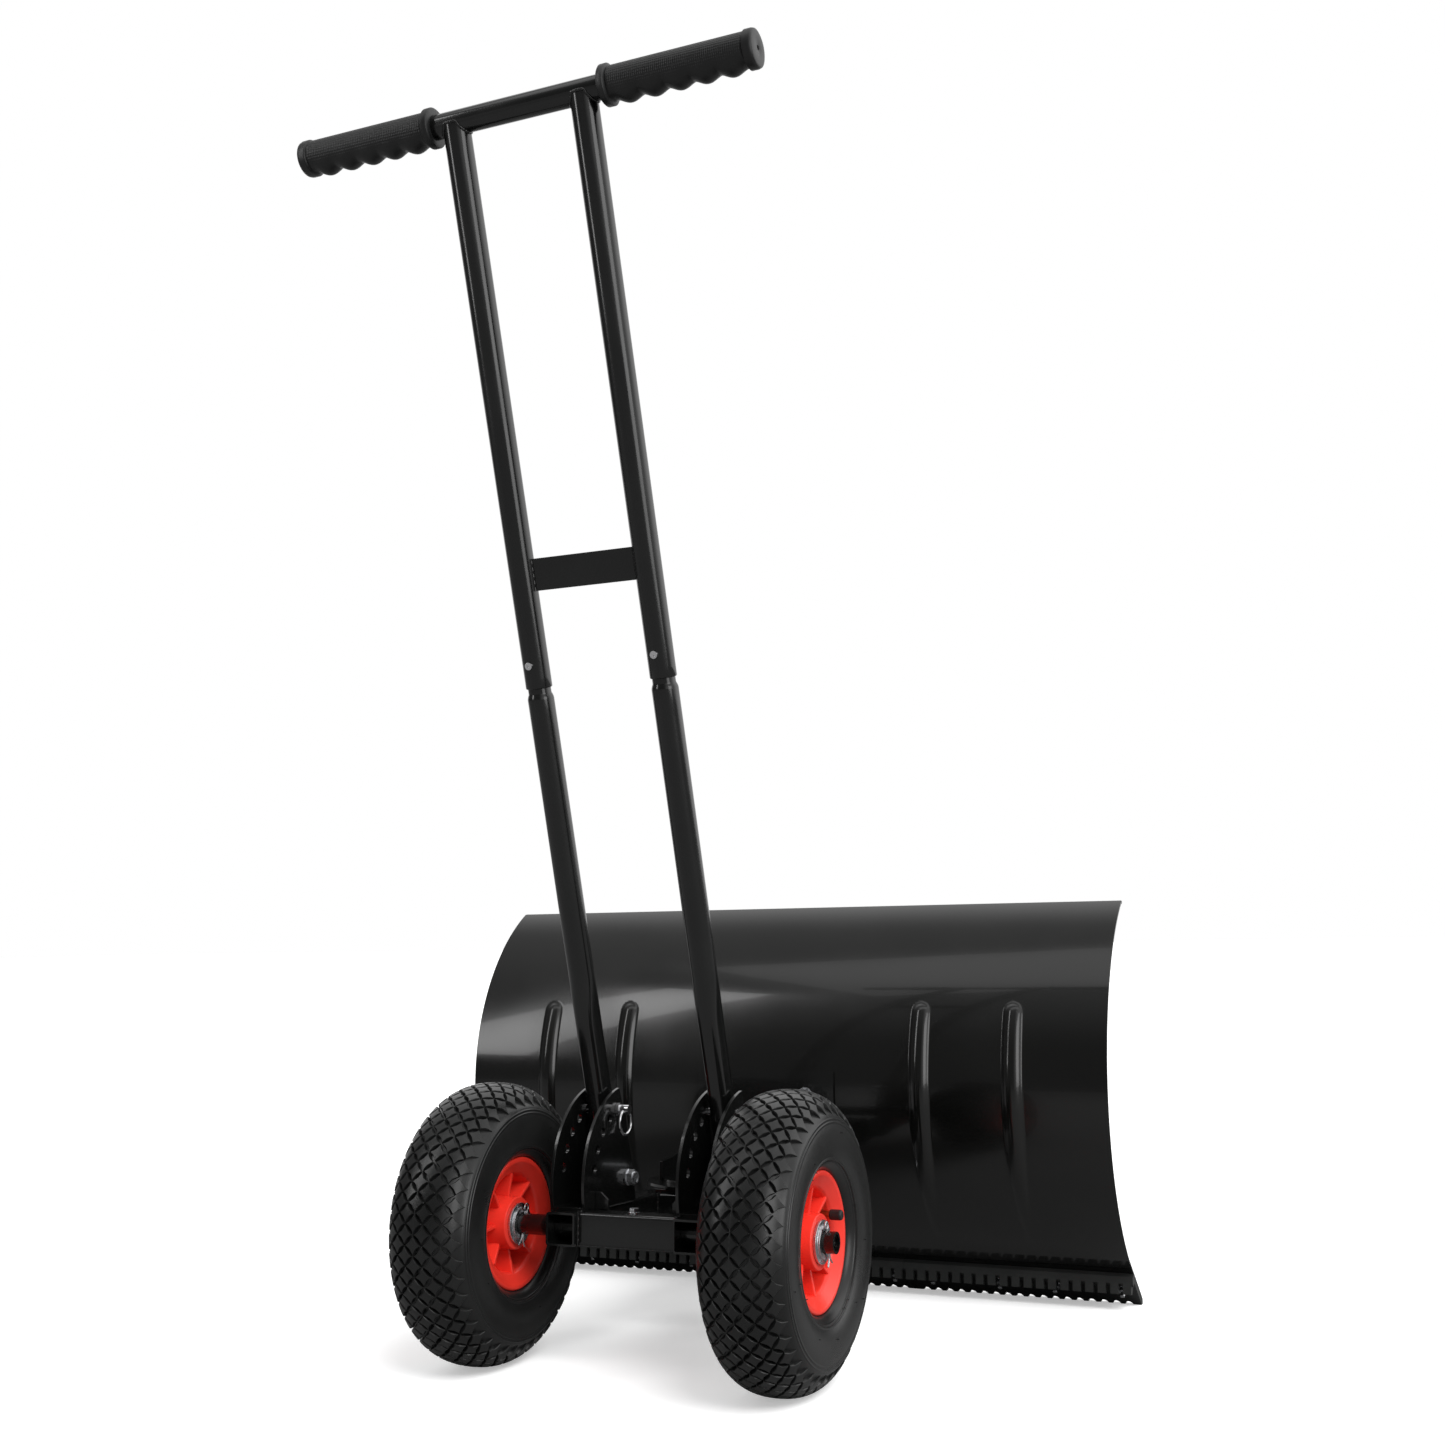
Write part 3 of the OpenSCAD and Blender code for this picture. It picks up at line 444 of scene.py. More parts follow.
def makeStudio():
    # the room is white where it is seen; the paint mirrors it dim ahead, brighter above and behind
    world = bpy.data.worlds.new("studio")
    bpy.context.scene.world = world
    world.use_nodes = True
    room = Tree(world.node_tree)
    out, sky = room.tree.nodes["World Output"], room.tree.nodes["Background"]
    ways = room.node("ShaderNodeTexCoord", {}, {}, "Generated")
    rightwards = room.node("ShaderNodeSeparateXYZ", {}, {0: ways}, 0)
    forwards = room.node("ShaderNodeSeparateXYZ", {}, {0: ways}, 1)
    upwards = room.node("ShaderNodeSeparateXYZ", {}, {0: ways}, 2)
    glow = studio["low"] + upwards.above(0.35, 0.6) * studio["high"]
    glow = glow + forwards.above(0.1, 0.5) * studio["back"] + rightwards.above(0.25, 0.5) * studio["side"]
    sky.inputs["Color"].default_value = (1, 1, 1, 1)
    room.feed(sky.inputs["Strength"], glow)
    seen = room.node("ShaderNodeBackground", {}, {"Color": studio["seen"]})
    rays = room.node("ShaderNodeLightPath", {}, {}, "Is Camera Ray")
    sky = Wire(room, sky.outputs[0])
    room.feed(out.inputs["Surface"], room.node("ShaderNodeMixShader", {}, {0: rays, 1: sky, 2: seen}))
    mesh = bpy.data.meshes.new("floor")
    half = studio["floorHalf"]
    corners = [(-half, -half, 0), (half, -half, 0), (half, half, 0), (-half, half, 0)]
    mesh.from_pydata(corners, [], [(0, 1, 2, 3)])
    floor = bpy.data.objects.new("floor", mesh)
    bpy.context.scene.collection.objects.link(floor)
    paint = Paint("floor", {"Specular IOR Level": 0.0, "Emission Strength": studio["floorGlow"]})
    rays = paint.node("ShaderNodeLightPath", {}, {}, "Is Camera Ray")
    tone = paint.mix(rays, studio["floorBounce"], studio["floor"])
    paint.feed(paint.shader.inputs["Emission Color"], paint.mix(rays, (0, 0, 0, 1), (1, 1, 1, 1)))
    mesh.materials.append(paint.finish(tone, 0.9, paint.bump(paint.noise(40.0), 0.0001)))


makeCamera()
makeLights()
makeStudio()
bpy.context.scene.view_settings.view_transform = "Standard"
print("camera, lights and floor made")


# ---- tyres ----

tyre = {"radius": 0.13, "half": 0.042, "sideRadius": 0.09, "bead": (0.0612, 0.0282), "corner": 2.4,
        "pitches": 44, "rowStep": 0.009, "rows": 3, "depth": 0.004, "edgeShare": 0.76, "cornerShare": 0.95,
        "wedgeTo": 0.049, "fade": 0.01, "fineFrom": 0.05, "fineStep": 0.0007, "hollowBase": 0.054,
        "hollowHigh": 0.03, "hollowHalf": 0.027}
tyreRings = (  # how far from the tread's middle, half width, height
    (0.0515, 0.0007, 0.0006), (0.0545, 0.0006, 0.0005), (0.0865, 0.0010, 0.0009), (0.0890, 0.0005, 0.0004))
hairs = {"count": 34, "ways": (0.0625, 0.0745, 0.087, -0.0625, -0.0745, -0.087), "short": 0.0008,
         "tall": 0.0024, "foot": 0.0005, "neck": 0.0004, "at": 0.09}


def tyreLine():
    # half of the section, from the middle of the tread down to the bead, every half millimetre:
    # a squared-off quarter ellipse, then a plain quarter ellipse in to the rim
    turn = np.linspace(0, math.pi / 2, 400)
    share = 2 / tyre["corner"]
    tall = tyre["radius"] - tyre["sideRadius"]
    upper = np.stack([tyre["sideRadius"] + tall * np.cos(turn) ** share,
                      tyre["half"] * np.sin(turn) ** share], 1)
    beadR, beadH = tyre["bead"]
    turn = np.linspace(0, math.pi / 2, 200)[1:]
    lower = np.stack([tyre["sideRadius"] - (tyre["sideRadius"] - beadR) * np.sin(turn),
                      beadH + (tyre["half"] - beadH) * np.cos(turn)], 1)
    line = np.concatenate([upper, lower])
    run = np.concatenate([[0], np.cumsum(np.linalg.norm(np.diff(line, axis=0), axis=1))])
    way = np.arange(0, run[-1], 0.0005)
    return way, np.stack([np.interp(way, run, line[:, 0]), np.interp(way, run, line[:, 1])], 1)


tyreWay, tyreHalfLine = tyreLine()


def onTread(angle, way, lift):
    # a point `way` from the middle of the tread, raised `lift` off the tyre's outline
    at = np.abs(way)
    slope = np.gradient(tyreHalfLine, axis=0)
    slope /= np.linalg.norm(slope, axis=1, keepdims=True)
    radius = np.interp(at, tyreWay, tyreHalfLine[:, 0]) + lift * np.interp(at, tyreWay, slope[:, 1])
    height = np.interp(at, tyreWay, tyreHalfLine[:, 1]) - lift * np.interp(at, tyreWay, slope[:, 0])
    height = np.where(way < 0, -height, height)
    return np.stack(np.broadcast_arrays(np.cos(angle) * radius, np.sin(angle) * radius, height), -1)


def carcass(axes):
    # the outline sunk under the tread, plain on the sides with thin raised rings, closed inside
    fine = np.arange(tyre["fineFrom"], tyreWay[-1], tyre["fineStep"])
    way = np.concatenate([np.linspace(0, tyre["wedgeTo"], 18), fine])
    lift = -tyre["depth"] * np.clip((tyre["wedgeTo"] - way) / tyre["fade"], 0, 1)
    for spot, width, height in tyreRings:
        lift = lift + height * np.exp(-((way - spot) / width) ** 4)
    both = np.concatenate([-way[:0:-1], way])
    lift = np.concatenate([lift[:0:-1], lift])
    angle = circleOf(220)[:, None]
    outer = onTread(angle, both, lift)
    inside = circleOf(16)[1:] * 0.5
    radius = tyre["hollowBase"] + tyre["hollowHigh"] * np.sin(inside)
    height = tyre["hollowHalf"] * np.cos(inside) + 0 * angle
    inner = np.stack([np.cos(angle) * radius, np.sin(angle) * radius, height], -1)
    return axes.at(np.concatenate([outer, inner], 1)), True, True


def treadBlocks(axes):
    # diamonds with hollow sides: the corners nearly meet, and lens-shaped grooves lie between
    edge = np.array([-1, -0.94, -0.85, -0.45, 0, 0.45, 0.85, 0.94, 1])
    s, t = np.meshgrid(edge, edge, indexing="ij")
    ring = np.maximum(np.abs(s), np.abs(t))
    beside, over = (s - t) / 2, (s + t) / 2
    middle = 1 - np.abs(np.abs(beside) - np.abs(over)) / np.maximum(ring, 1e-9)
    share = tyre["cornerShare"] + (tyre["edgeShare"] - tyre["cornerShare"]) * middle ** 0.7
    lift = np.interp(ring, [0, 0.85, 0.94, 1], [0, 0, -0.0007, -tyre["depth"] - 0.0008])
    rows, pitch = np.arange(-tyre["rows"], tyre["rows"] + 1), 2 * math.pi / tyre["pitches"]
    row, number = np.meshgrid(rows, np.arange(tyre["pitches"]), indexing="ij")
    spot = ((number + 0.5 * (row % 2)) * pitch).reshape(-1, 1, 1)
    way = (row * tyre["rowStep"]).reshape(-1, 1, 1) + over * share * tyre["rowStep"]
    blocks = onTread(spot + beside * share * pitch / 2, way, lift + 0 * spot)
    wedges = [blocks]
    for hand in (-1, 1):  # half diamonds drawn out to a point down the shoulder
        first = (tyre["rows"] + 1) * tyre["rowStep"]
        stretch = np.where(over > 0, (tyre["wedgeTo"] - first) / tyre["rowStep"], 1)
        drop = lift * np.where(over > 0, 1 - 0.55 * over, 1)
        spot = ((np.arange(tyre["pitches"]) + 0.5 * ((tyre["rows"] + 1) % 2)) * pitch).reshape(-1, 1, 1)
        way = first + over * share * stretch * tyre["rowStep"]
        wedges.append(onTread(spot + beside * share * pitch / 2, hand * way + 0 * spot, drop + 0 * spot))
    return axes.at(np.concatenate(wedges)), False, False


def ventHairs(axes, seed):
    # short moulding hairs on the side, at places drawn from a seeded list
    dice = np.random.default_rng(seed)
    angle = dice.uniform(0, 2 * math.pi, hairs["count"])
    way = dice.choice(hairs["ways"], hairs["count"])
    tall = dice.uniform(hairs["short"], hairs["tall"], hairs["count"])
    turn = circleOf(5)[None, :, None]
    rise = np.array([-1.0, 1.0, 1.0])
    slim = np.array([hairs["foot"], hairs["neck"], 0.0])
    lift = np.where(rise > 0, rise * tall[:, None, None], -hairs["foot"])
    around = angle[:, None, None] + np.cos(turn) * slim / hairs["at"]
    along = way[:, None, None] + np.sin(turn) * slim
    return axes.at(onTread(around, along, lift + 0 * around)), True, False


def makeTyre(side):
    axes = wheelAxes(side)
    fin = rounded([(0.1255, -0.00025), (0.13005, -0.0002), (0.13005, 0.0002), (0.1255, 0.00025)], 0.0001, 2)
    patches = [carcass(axes), treadBlocks(axes), ventHairs(axes, 5 + sides[side]), lathe(axes, fin, 160)]
    piece(f"tyre_tread_{side}", patches, f"wheel_{side}", tyreRubber, [f"tyre_{side}"], 32)


# ---- rims and valves ----

rim = {"ribs": 8, "ribThick": 0.0034, "hub": 0.024, "pocket": 0.047, "web": 0.004, "hubTop": 0.03,
       "ribLow": 0.02, "ribHigh": 0.0245, "lip": 0.061, "lipTop": 0.0315, "seat": 0.052, "bore": 0.0135,
       "bearing": 0.0175, "step": 0.019}


def rimBody(axes):
    # the dished flange, the pocket's floor and the hub, as one turned section
    r = rim
    line = [(r["bore"], 0), (r["seat"], 0), (r["seat"], 0.0243), (0.0592, 0.0263), (r["lip"], 0.0281),
            (r["lip"], 0.0303), (0.0594, r["lipTop"]), (0.0565, 0.0312), (r["pocket"], 0.0248),
            (0.0452, 0.0222), (0.0442, r["web"]), (r["hub"] + 0.0008, r["web"]), (r["hub"], r["hubTop"]),
            (r["bearing"], r["hubTop"]), (r["bearing"], r["step"]), (r["bore"], r["step"])]
    return lathe(axes, rounded(line, 0.0011, 5), 144)


def rimRibs(axes):
    # rounded walls, thick at the foot, that slope from the pocket's edge down to the hub
    sink = 0.001
    out = np.linspace(0, 1, 9)
    reach = rim["hub"] - sink + out * (rim["pocket"] - rim["hub"])
    top = rim["ribLow"] + (rim["ribHigh"] - rim["ribLow"]) * out
    wall = rounded([(-0.62, 0), (-0.5, 0.9), (-0.42, 1), (0.42, 1), (0.5, 0.9), (0.62, 0)], 0.12, 4, False)
    thick = wall[:, 0][:, None] * rim["ribThick"]
    height = rim["web"] - sink + wall[:, 1][:, None] * (top - rim["web"] + sink)
    section = np.stack([reach + 0 * thick, thick + 0 * reach, height], -1)
    start, end = section[:, :1].mean(0, keepdims=True), section[:, -1:].mean(0, keepdims=True)
    ends = np.ones((len(section), 1, 1))
    section = np.concatenate([start * ends, section, end * ends], 1)
    turn = circleOf(rim["ribs"], math.pi / 2)[:, None, None]
    x = section[..., 0] * np.cos(turn) - section[..., 1] * np.sin(turn)
    y = section[..., 0] * np.sin(turn) + section[..., 1] * np.cos(turn)
    return axes.at(np.stack([x, y, section[..., 2] + 0 * turn], -1)), True, False


valve = {"angle": 28, "radius": 0.038, "height": 0.014, "foot": 0.051, "bend": 0.006, "stem": 0.0036,
         "capFrom": 0.027, "capLong": 0.0115, "cap": 0.0047, "capTop": 0.0098, "capRibs": 18}


def makeValve(side):
    # a stem bent outwards from the rim's seat, and a cap with fine ribs
    body, v = f"wheel_{side}", valve
    wheel = wheelAxes(side)
    tilt = math.radians(v["angle"])
    out = math.cos(tilt) * wheel.turn[0] + math.sin(tilt) * wheel.turn[1]
    stem = Axes(wheel.at([0, 0, 0]), out, np.cross(wheel.turn[2], out), wheel.turn[2])
    turn = np.linspace(0, math.pi / 2, 9)
    bend = np.stack([v["radius"] + v["bend"] * (1 - np.sin(turn)), 0 * turn,
                     v["height"] + v["bend"] * (1 - np.cos(turn))], 1)
    elbow = np.concatenate([[(v["foot"], 0, v["height"])], bend, [(v["radius"], 0, v["capFrom"] + 0.001)]])
    piece(f"valve_stem_{side}", [sweep(elbow, v["stem"], (0, 1, 0), 20, axes=stem)], body, brass)
    cap = Axes(stem.at([v["radius"], 0, v["capFrom"]]), stem.turn[0], stem.turn[1], stem.turn[2])
    line = rounded([(0, 0), (0.0042, 0), (v["cap"], 0.0008), (v["cap"], v["capTop"]), (0.0038, v["capLong"]),
                    (0, v["capLong"])], 0.0008, 4, False)
    line = np.concatenate([line[:9], np.linspace(line[8], line[9], 6)[1:-1], line[9:]])
    points, loopU, loopV = lathe(Axes((0, 0, 0), (1, 0, 0), (0, 1, 0), (0, 0, 1)), line, 144, False)
    ribbed = np.clip(np.minimum(line[:, 1] - 0.001, 0.0095 - line[:, 1]) / 0.0008, 0, 1)
    grow = 1 - 0.05 * ribbed * (0.5 + 0.5 * np.cos(v["capRibs"] * circleOf(144)[:, None]))
    points = cap.at(points * np.stack([grow, grow, np.ones_like(grow)], -1))
    piece(f"valve_cap_{side}_finished", [(points, loopU, loopV)], body, capBlack,
          [f"valve_cap_{side}"])


def makeWheel(side):
    body = f"wheel_{side}"
    makeTyre(side)
    for part, face in (("outer", 1), ("inner", -1)):
        axes = wheelAxes(side)
        axes.turn[2] *= face
        piece(f"rim_{part}_{side}_finished", [rimBody(axes), rimRibs(axes)], body, rimRed,
              [f"rim_{part}_{side}"], 45)
    nodes[f"inner_tube_{side}"].data.materials.clear()
    nodes[f"inner_tube_{side}"].data.materials.append(tubeRubber)
    makeValve(side)
    softened(f"hub_bearings_{side}", body, zinc, 0.0004)
    softened(f"rim_screws_{side}", body, zinc, 0.0003)


for side in sides:
    makeWheel(side)
print("wheels made")


# ---- frame, axle and hardware ----

for node in ("rail_left", "rail_right", "axle_crossbar", "front_crossbar", "lock_bracket_left",
             "lock_bracket_right", "corner_gussets", "swivel_base_plate", "axle_tube"):
    softened(node, "frame", powderCoat, 0.0006)
for node in ("axle_lock_screw", "axle_washers", "pivot_bolts", "pivot_nuts", "swivel_bolt", "swivel_nut"):
    softened(node, "frame", zinc, 0.0005)
for node in ("blade_cradle", "swivel_disc", "back_pad"):
    softened(node, "blade", powderCoat, 0.0006)
for node in ("pad_bolts", "pad_nuts", "scraper_bolts", "scraper_nuts"):
    softened(node, "blade", zinc, 0.0004)
for node in ("scraper_left", "scraper_middle", "scraper_right"):
    softened(node, "blade", scraperBlack, 0.0005)
softened("swivel_pin", "swivel_lock", zinc, 0.0004)
softened("brace_plate", "handle", powderCoat, 0.0005)
softened("pivot_spacers", "handle", capBlack, 0.0004)
for side in sides:
    softened(f"lock_pin_{side}", f"pin_{side}", chrome, 0.0005)
    softened(f"snap_button_{side}", f"snap_{side}", chrome, 0.0003)

cotter = {"out": 0.037, "wire": 0.00085, "eye": 0.0034, "axle": 0.0095, "tilt": 14, "eyeUp": 0.0054,
          "legs": 0.0046}


def cotterPath():
    # down one leg, round the eye and down the other, drawn in the plane of the eye
    turn = np.radians(np.linspace(-62, 242, 25))
    eyeAt = cotter["axle"] + cotter["eyeUp"]
    eye = np.stack([cotter["eye"] * np.cos(turn), eyeAt + cotter["eye"] * np.sin(turn)], 1)
    low = -cotter["axle"] - cotter["legs"]
    right = np.array([(0.0052, low - 0.0062), (0.0022, low - 0.0022), (0.0009, low + 0.001), (0.0009, 0.0)])
    left = right[::-1] * [-1, 1]
    line = rounded(np.concatenate([right, eye, left]), 0.001, 4, False)
    return np.stack([0 * line[:, 0], line[:, 0], line[:, 1]], 1)


def makeCotters():
    patches = []
    for side in (-1, 1):
        for face in (-1, 1):
            out = abs(jointPoint("wheel_left_spin")[0]) * side + cotter["out"] * face
            tilt = math.radians(side * face * cotter["tilt"])
            x, y, z = level.turn
            spot = Axes(level.at([out, 0, 0]), x, math.cos(tilt) * y + math.sin(tilt) * z,
                        math.cos(tilt) * z - math.sin(tilt) * y)
            patches.append(sweep(cotterPath(), cotter["wire"], (1, 0, 0), 10, axes=spot))
    piece("cotter_pins_finished", patches, "frame", zinc, ["cotter_pins"])


def bead(start, end, size, seed, axes=level, lift=(0, 0, 1)):
    # a weld: a low bead whose thickness ripples as the puddles do
    dice = np.random.default_rng(seed)
    start, end = np.array(start, float), np.array(end, float)
    count = max(12, int(np.linalg.norm(end - start) / 0.0009))
    t = np.linspace(0, 1, count)
    ripple = 1 + 0.16 * np.sin(t * count * 0.9 + dice.uniform(0, 6)) + dice.normal(0, 0.04, count)
    return sweep(start + (end - start) * t[:, None], size * ripple, lift, 10, axes=axes)


welds = {"rail": 0.065, "half": 0.015, "bracketIn": 0.0492, "bracketOut": 0.0808, "bracketFrom": -0.002,
         "bracketTo": 0.092, "nose": 0.18, "bead": 0.0019, "corner": 0.00152, "brace": 0.0014}


def makeWelds():
    # along both sides of each bracket's foot, and round the ends of the two crossbars
    w, patches = welds, []
    top, low = w["half"], w["nose"] - 2 * w["half"]
    for side in (-1, 1):
        for x, seed in ((w["bracketIn"], 3), (w["bracketOut"], 4)):
            start, end = (side * x, w["bracketFrom"], top), (side * x, w["bracketTo"], top)
            patches.append(bead(start, end, w["bead"], seed))
        inner = side * (w["rail"] - w["half"])
        for y in (-top, top, low, w["nose"]):
            patches.append(bead((inner, y, -top), (inner, y, top), w["corner"], 7, lift=(1, 0, 0)))
        patches.append(bead((inner, -top, top), (inner, top, top), w["corner"], 8))
        patches.append(bead((inner, low, top), (inner, w["nose"], top), w["corner"], 9))
    piece("weld_beads", patches, "frame", powderCoat)


makeCotters()
makeWelds()
print("frame made")


# ---- handle ----

tubes = {"spread": 0.065, "radius": 0.0125, "wall": 0.0015, "flat": 0.02, "deep": 0.0275, "flatTo": 0.165,
         "roundFrom": 0.195, "drop": 0.013, "joint": 0.482, "gap": 0.0025, "bar": 0.011, "spigot": 0.0108,
         "brace": 0.59, "braceHigh": 0.03}


def ovalTube(x, stations, widths, depths, squareness):
    # squared-off ovals carried up the tube, out along the skin and back down the bore
    wall = tubes["wall"]
    angle = circleOf(72)[:, None]
    c, s = np.cos(angle), np.sin(angle)
    power = 2 / np.asarray(squareness)
    shape = np.sign(c) * np.abs(c) ** power, np.sign(s) * np.abs(s) ** power
    skin = np.stack([x + shape[0] * widths, shape[1] * depths, stations + 0 * angle], -1)
    bore = np.stack([x + shape[0] * (widths - wall), shape[1] * (depths - wall), stations + 0 * angle], -1)
    return np.concatenate([skin, bore[:, ::-1]], 1)


def makeLowerTube(side):
    # flattened below, blending to round, with a narrower neck that goes up into the upper tube
    t = tubes
    blend = np.linspace(0, 1, 12)
    ease = blend * blend * (3 - 2 * blend)
    lipped = np.array([0.0, 0.0008, 0.002])
    spread = 0.012
    shape = t["flatTo"] - spread + blend * (t["roundFrom"] - t["flatTo"] + 2 * spread)
    z = np.concatenate([[-t["drop"], 0.05, 0.11], shape, [0.3, 0.4, 0.46], t["joint"] - 0.008 + lipped,
                        t["joint"] - 0.004 + lipped, [t["joint"] + t["gap"] + 0.04]])
    fade = np.concatenate([[0, 0, 0], ease, np.ones(10)])
    narrow = t["radius"] - t["spigot"]
    neck = np.concatenate([np.zeros(18), [0, 0.05, 0.2, 0.6, 0.9, 1.0, 1.0]]) * narrow
    width = (t["flat"] / 2) * (1 - fade) + t["radius"] * fade
    depth = (t["deep"] / 2) * (1 - fade) + t["radius"] * fade
    points = ovalTube(sides[side] * t["spread"], z, width - neck, depth - neck, 3.2 - 1.2 * fade)
    piece(f"lower_tube_{side}_finished", [(handle.at(points), True, True)], "handle", powderCoat,
          [f"lower_tube_{side}"])


def makeUpperTube(side):
    # the top end is cut to the curve of the cross handle, with a weld round it
    t = tubes
    x = sides[side] * t["spread"]
    low = t["joint"] + t["gap"]
    share = np.concatenate([[0, 0.0008, 0.002], np.linspace(0.02, 1, 24)])
    shrink = np.concatenate([[0.0009, 0.0003, 0], np.zeros(24)])
    angle = circleOf(72)[:, None]
    beside = t["radius"] * np.sin(angle)
    saddle = handleLength - np.sqrt(np.maximum(t["bar"] ** 2 - beside ** 2, 0))
    stations = low + share * (saddle - low)
    skin = t["radius"] - shrink
    bore = t["radius"] - t["wall"]
    outer = np.stack([x + skin * np.cos(angle), skin * np.sin(angle), stations], -1)
    inner = np.stack([x + bore * np.cos(angle) + 0 * share, bore * np.sin(angle) + 0 * share, stations], -1)
    shell = np.concatenate([outer, inner[:, ::-1]], 1)
    turn = circleOf(120)
    beside = t["radius"] * np.sin(turn)
    path = np.stack([x + t["radius"] * np.cos(turn), beside,
                     handleLength - np.sqrt(np.maximum(t["bar"] ** 2 - beside ** 2, 1e-6))], 1)
    weld = sweep(path, 0.0014 * (1 + 0.14 * np.sin(turn * 30)), (0, 0, 1), 10, True, handle)
    piece(f"upper_tube_{side}_finished", [(handle.at(shell), True, True), weld], "handle", powderCoat,
          [f"upper_tube_{side}"])


grip = {"start": 0.086, "long": 0.144, "radius": 0.0153, "bore": 0.0111, "boreLong": 0.12,
        "flange": 0.018, "flangeLong": 0.007, "cap": 0.0167, "capLong": 0.009, "hole": 0.002,
        "bumps": 5, "bumpHigh": 0.0042, "flatten": 0.0009, "knurl": 0.00022, "knurlStep": 0.0019,
        "step": 0.00046}


def makeGrip(side):
    # a sleeve whose radius changes along it and round it: the bumps are a raised cosine along it,
    # strongest straight below, and the crossed ridges are two cosines multiplied
    g = grip
    long, cap = g["long"], g["long"] - g["capLong"]
    body = np.arange(g["flangeLong"] + 0.0012, cap - 0.001, g["step"])
    ends = [(g["boreLong"], 0), (g["boreLong"], g["bore"]), (0.0, g["bore"]), (0.0, g["flange"] - 0.001),
            (0.001, g["flange"]), (g["flangeLong"] - 0.001, g["flange"]),
            (g["flangeLong"], g["flange"] - 0.0012), (g["flangeLong"] + 0.0006, g["radius"] - 0.0004)]
    tail = [(cap - 0.0004, g["radius"] - 0.0007), (cap, g["radius"] - 0.0005), (cap + 0.0006, g["cap"]),
            (long - 0.003, g["cap"]), (long - 0.0008, g["cap"] - 0.0007), (long, g["cap"] - 0.0026),
            (long, g["hole"] + 0.0004), (long - 0.0004, g["hole"]), (long - 0.003, g["hole"]),
            (long - 0.003, 0)]
    line = np.concatenate([ends, np.stack([body, 0 * body + g["radius"]], 1), tail])
    x, radius = line[:, 0], line[:, 1]
    onBody = np.zeros(len(line))
    onBody[len(ends):len(ends) + len(body)] = 1
    angle = circleOf(200)[:, None]
    first, last = g["flangeLong"] + 0.004, cap - 0.003
    phase = np.clip((x - first) / (last - first), 0, 1) * g["bumps"]
    lobe = (0.5 - 0.5 * np.cos(2 * math.pi * phase)) ** 0.75 * onBody
    below = np.maximum(np.cos(angle - math.pi), 0) ** 2.2
    rings = angle * g["radius"] * math.sqrt(0.6)
    ridges = np.cos(math.pi * (x + rings) / g["knurlStep"]) * np.cos(math.pi * (x - rings) / g["knurlStep"])
    plain = 1 - np.clip(below * 2.2, 0, 1)
    grow = g["bumpHigh"] * lobe * below - g["flatten"] * below * onBody + g["knurl"] * ridges * plain * onBody
    reach = radius + grow
    points = np.stack([sides[side] * (g["start"] + x) + 0 * angle, np.sin(angle) * reach,
                       handleLength + np.cos(angle) * reach], -1)
    piece(f"grip_{side}_finished", [(handle.at(points), True, False)], "handle", gripRubber,
          [f"grip_{side}"], 50)


def makeCrossHandle():
    reach = grip["start"] + grip["long"] - 0.004
    skin, bore = tubes["bar"], tubes["bar"] - tubes["wall"]
    line = rounded([(skin, -reach), (skin, reach), (bore, reach), (bore, -reach)], 0.0004, 3)
    bar = Axes(handle.at([0, 0, handleLength]), handle.turn[1], handle.turn[2], handle.turn[0])
    piece("cross_handle_finished", [lathe(bar, line, 96)], "handle", powderCoat,
          ["cross_handle"])


def makeBraceWelds():
    # where the flat brace meets each tube, front and back
    t, patches = tubes, []
    for side in (-1, 1):
        for face in (-1, 1):
            x, y = side * (t["spread"] - t["radius"] + 0.0006), face * 0.0018
            low, high = t["brace"] - t["braceHigh"] / 2, t["brace"] + t["braceHigh"] / 2
            patches.append(bead((x, y, low), (x, y, high), welds["brace"], 12, handle, (1, 0, 0)))
    piece("brace_welds", patches, "handle", powderCoat)


ringSize = {"radius": 0.0117, "wire": 0.0013}


def makeRing(side):
    low, high = (np.array(corner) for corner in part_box(f"pin_ring_{side}"))
    turn = circleOf(72)
    middle = (low + high) / 2
    path = np.stack([0 * turn, ringSize["radius"] * np.cos(turn), ringSize["radius"] * np.sin(turn)], 1)
    flat = Axes(middle, (1, 0, 0), (0, 1, 0), (0, 0, 1))
    piece(f"pin_ring_{side}_finished", [sweep(path, ringSize["wire"], (1, 0, 0), 16, True, flat)],
          f"ring_{side}", chrome, [f"pin_ring_{side}"])


for side in sides:
    makeLowerTube(side)
    makeUpperTube(side)
    makeGrip(side)
    makeRing(side)
makeCrossHandle()
makeBraceWelds()
print("handle made")


# ---- blade ----

blade = {"width": 0.746, "radius": 0.234, "sheet": 0.002, "up": 58.0, "down": 47.5, "flange": 0.076,
         "slope": 37.5, "middle": (0.547, 0.114), "ribs": (-0.275, -0.175, 0.175, 0.275), "ribWide": 0.024,
         "ribDeep": 0.006, "ribLow": -40.0, "ribHigh": 20.0, "ribAim": 5.0, "soft": 0.0011, "hem": 0.002,
         "ribStep": 0.0011, "ribClear": 0.018, "edge": 0.0006}


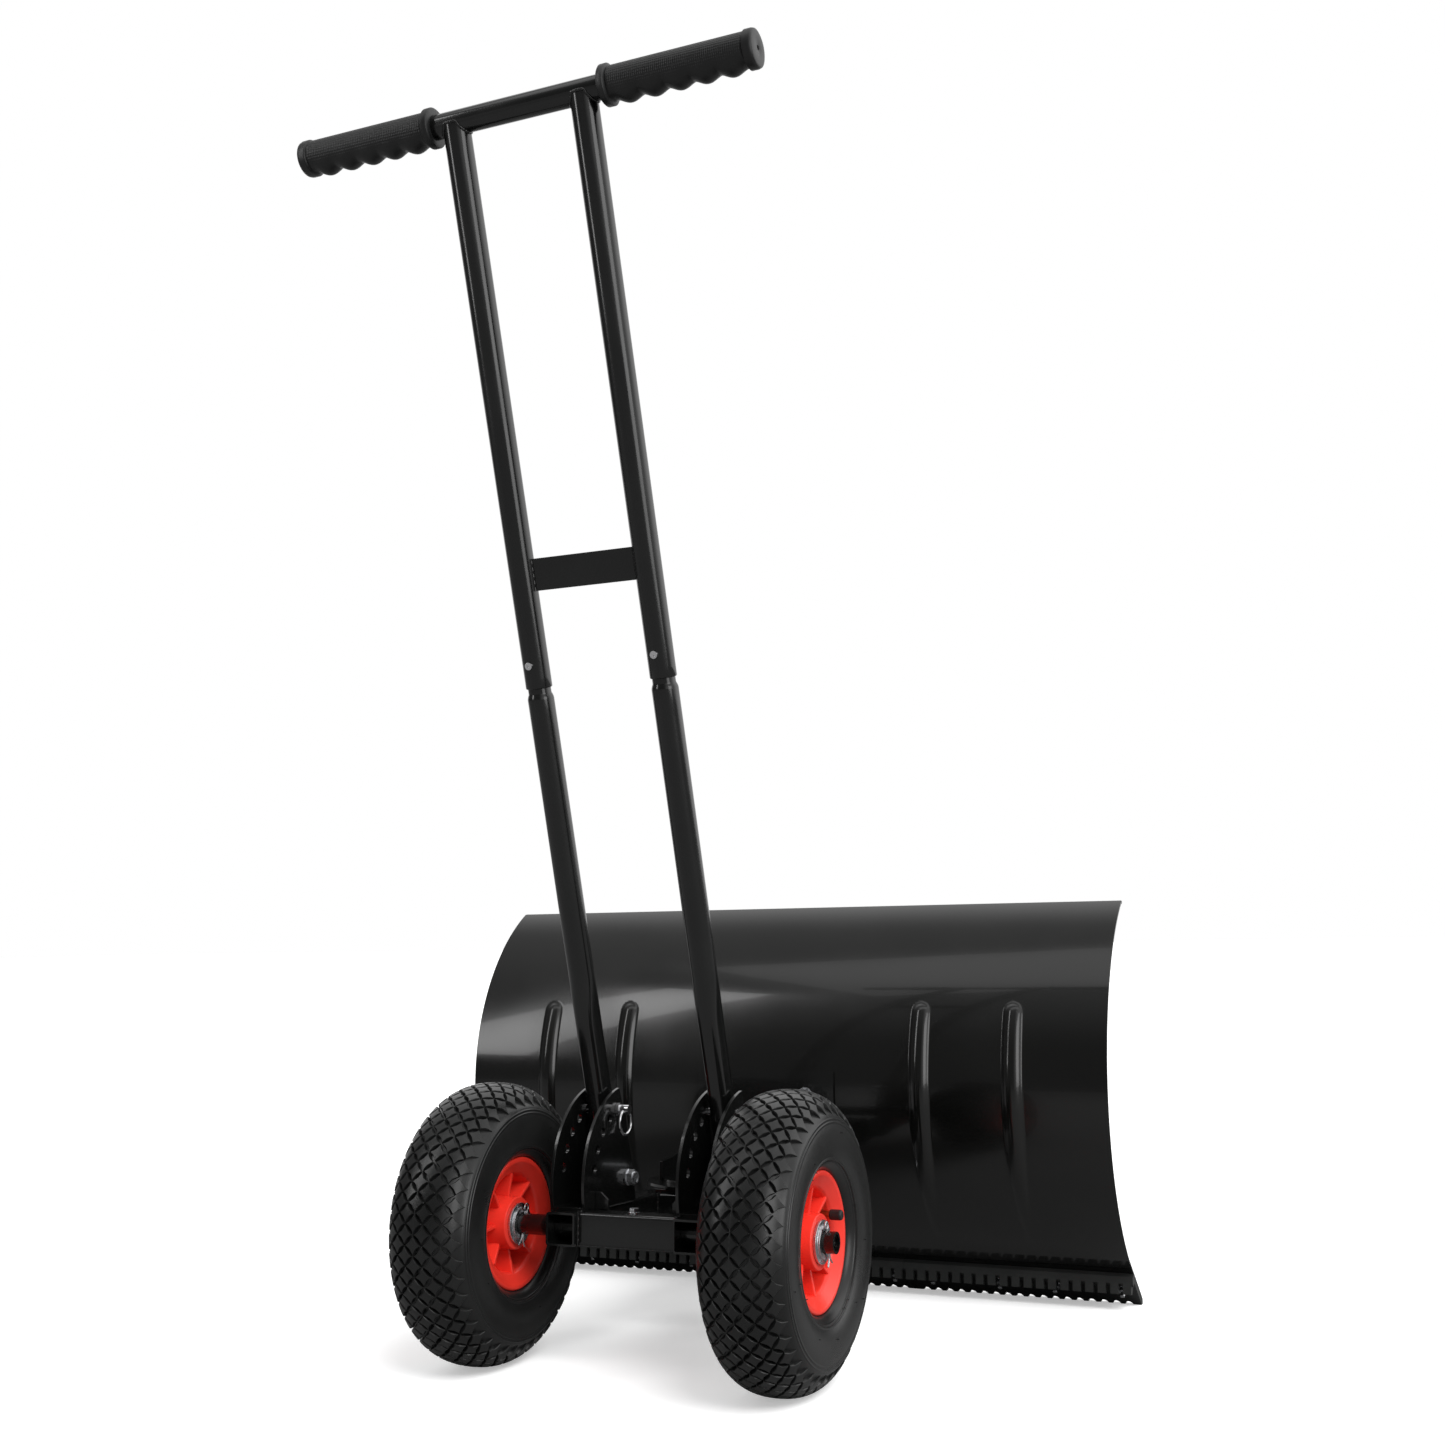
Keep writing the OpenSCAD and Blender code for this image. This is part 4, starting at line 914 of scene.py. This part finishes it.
def ribLift(x, angle):
    # a half-round bead on its own arc: full near its middle, round at the top, sinking in below
    b = blade
    half = b["ribWide"] / 2
    shift = b["ribDeep"] / (1 - math.cos(math.radians(b["ribAim"] - b["ribLow"])))
    deep = b["ribDeep"] - shift * (1 - np.cos(np.radians(angle - b["ribAim"])))
    past = np.maximum(np.radians(angle - b["ribHigh"]) * b["radius"], 0)
    lift = np.full(np.broadcast(x, angle).shape, -1.0)
    for spot in b["ribs"]:
        offMiddle = (x - spot) ** 2 + past ** 2
        lift = np.maximum(lift, np.sqrt(np.maximum(half ** 2 - offMiddle, 0)) - (half - deep))
    lift = np.where(angle < b["ribLow"] - 2, -1.0, lift)
    soft = b["soft"]
    return np.maximum(0.5 * (lift + np.sqrt(lift ** 2 + soft ** 2)) - 0.0002, 0)


def makeBlade():
    # the rolled sheet, finer at its four pressed ribs, with the straight flange below and the hem above
    b = blade
    half = b["width"] / 2
    close = np.concatenate([spot + b["ribStep"] * np.arange(-15, 16) for spot in b["ribs"]])
    wide = np.linspace(-half + b["edge"], half - b["edge"], 61)
    far = np.abs(wide[:, None] - np.array(b["ribs"])).min(1) > b["ribClear"]
    x = np.sort(np.concatenate([wide[far], close]))
    x = np.concatenate([[-half], x, [half]])[:, None]
    arc = np.linspace(b["up"], -b["down"], 190)
    run = np.array([0.0015, 0.004, 0.02, 0.04, 0.06, b["flange"] - 0.001, b["flange"]])
    slope = math.radians(b["slope"])
    lift = ribLift(x, arc[None])
    middleY, middleZ = b["middle"]

    def skin(depth):
        reach = b["radius"] - depth + lift
        y = middleY - reach * np.cos(np.radians(arc))
        z = middleZ + reach * np.sin(np.radians(arc))
        footY = middleY - b["radius"] * math.cos(math.radians(b["down"]))
        footZ = middleZ - b["radius"] * math.sin(math.radians(b["down"]))
        flangeY = footY + run * math.cos(slope) + depth * math.sin(slope) + 0 * x
        flangeZ = footZ - run * math.sin(slope) + depth * math.cos(slope) + 0 * x
        return np.stack([np.broadcast_to(x, (len(x), len(arc) + len(run))),
                         np.concatenate([y, flangeY], 1), np.concatenate([z, flangeZ], 1)], -1)

    back, front = skin(0.0), skin(b["sheet"])
    sheet = np.concatenate([back, front[:, ::-1]], 1)
    hemY = middleY - (b["radius"] - b["hem"]) * math.cos(math.radians(b["up"]))
    hemZ = middleZ + (b["radius"] - b["hem"]) * math.sin(math.radians(b["up"]))
    hem = sweep([(x, hemY, hemZ) for x in (-half, -half + 0.001, half - 0.001, half)],
                [b["hem"] * 0.8, b["hem"], b["hem"], b["hem"] * 0.8], (0, 0, 1), 16)
    caps = [(level.at(np.stack([back[end], front[end]])), False, False) for end in (0, -1)]
    piece("blade_sheet_finished", [(level.at(sheet), False, True), hem] + caps, "blade", bladeEnamel,
          ["blade_sheet"], 50)


makeBlade()
print("blade made")
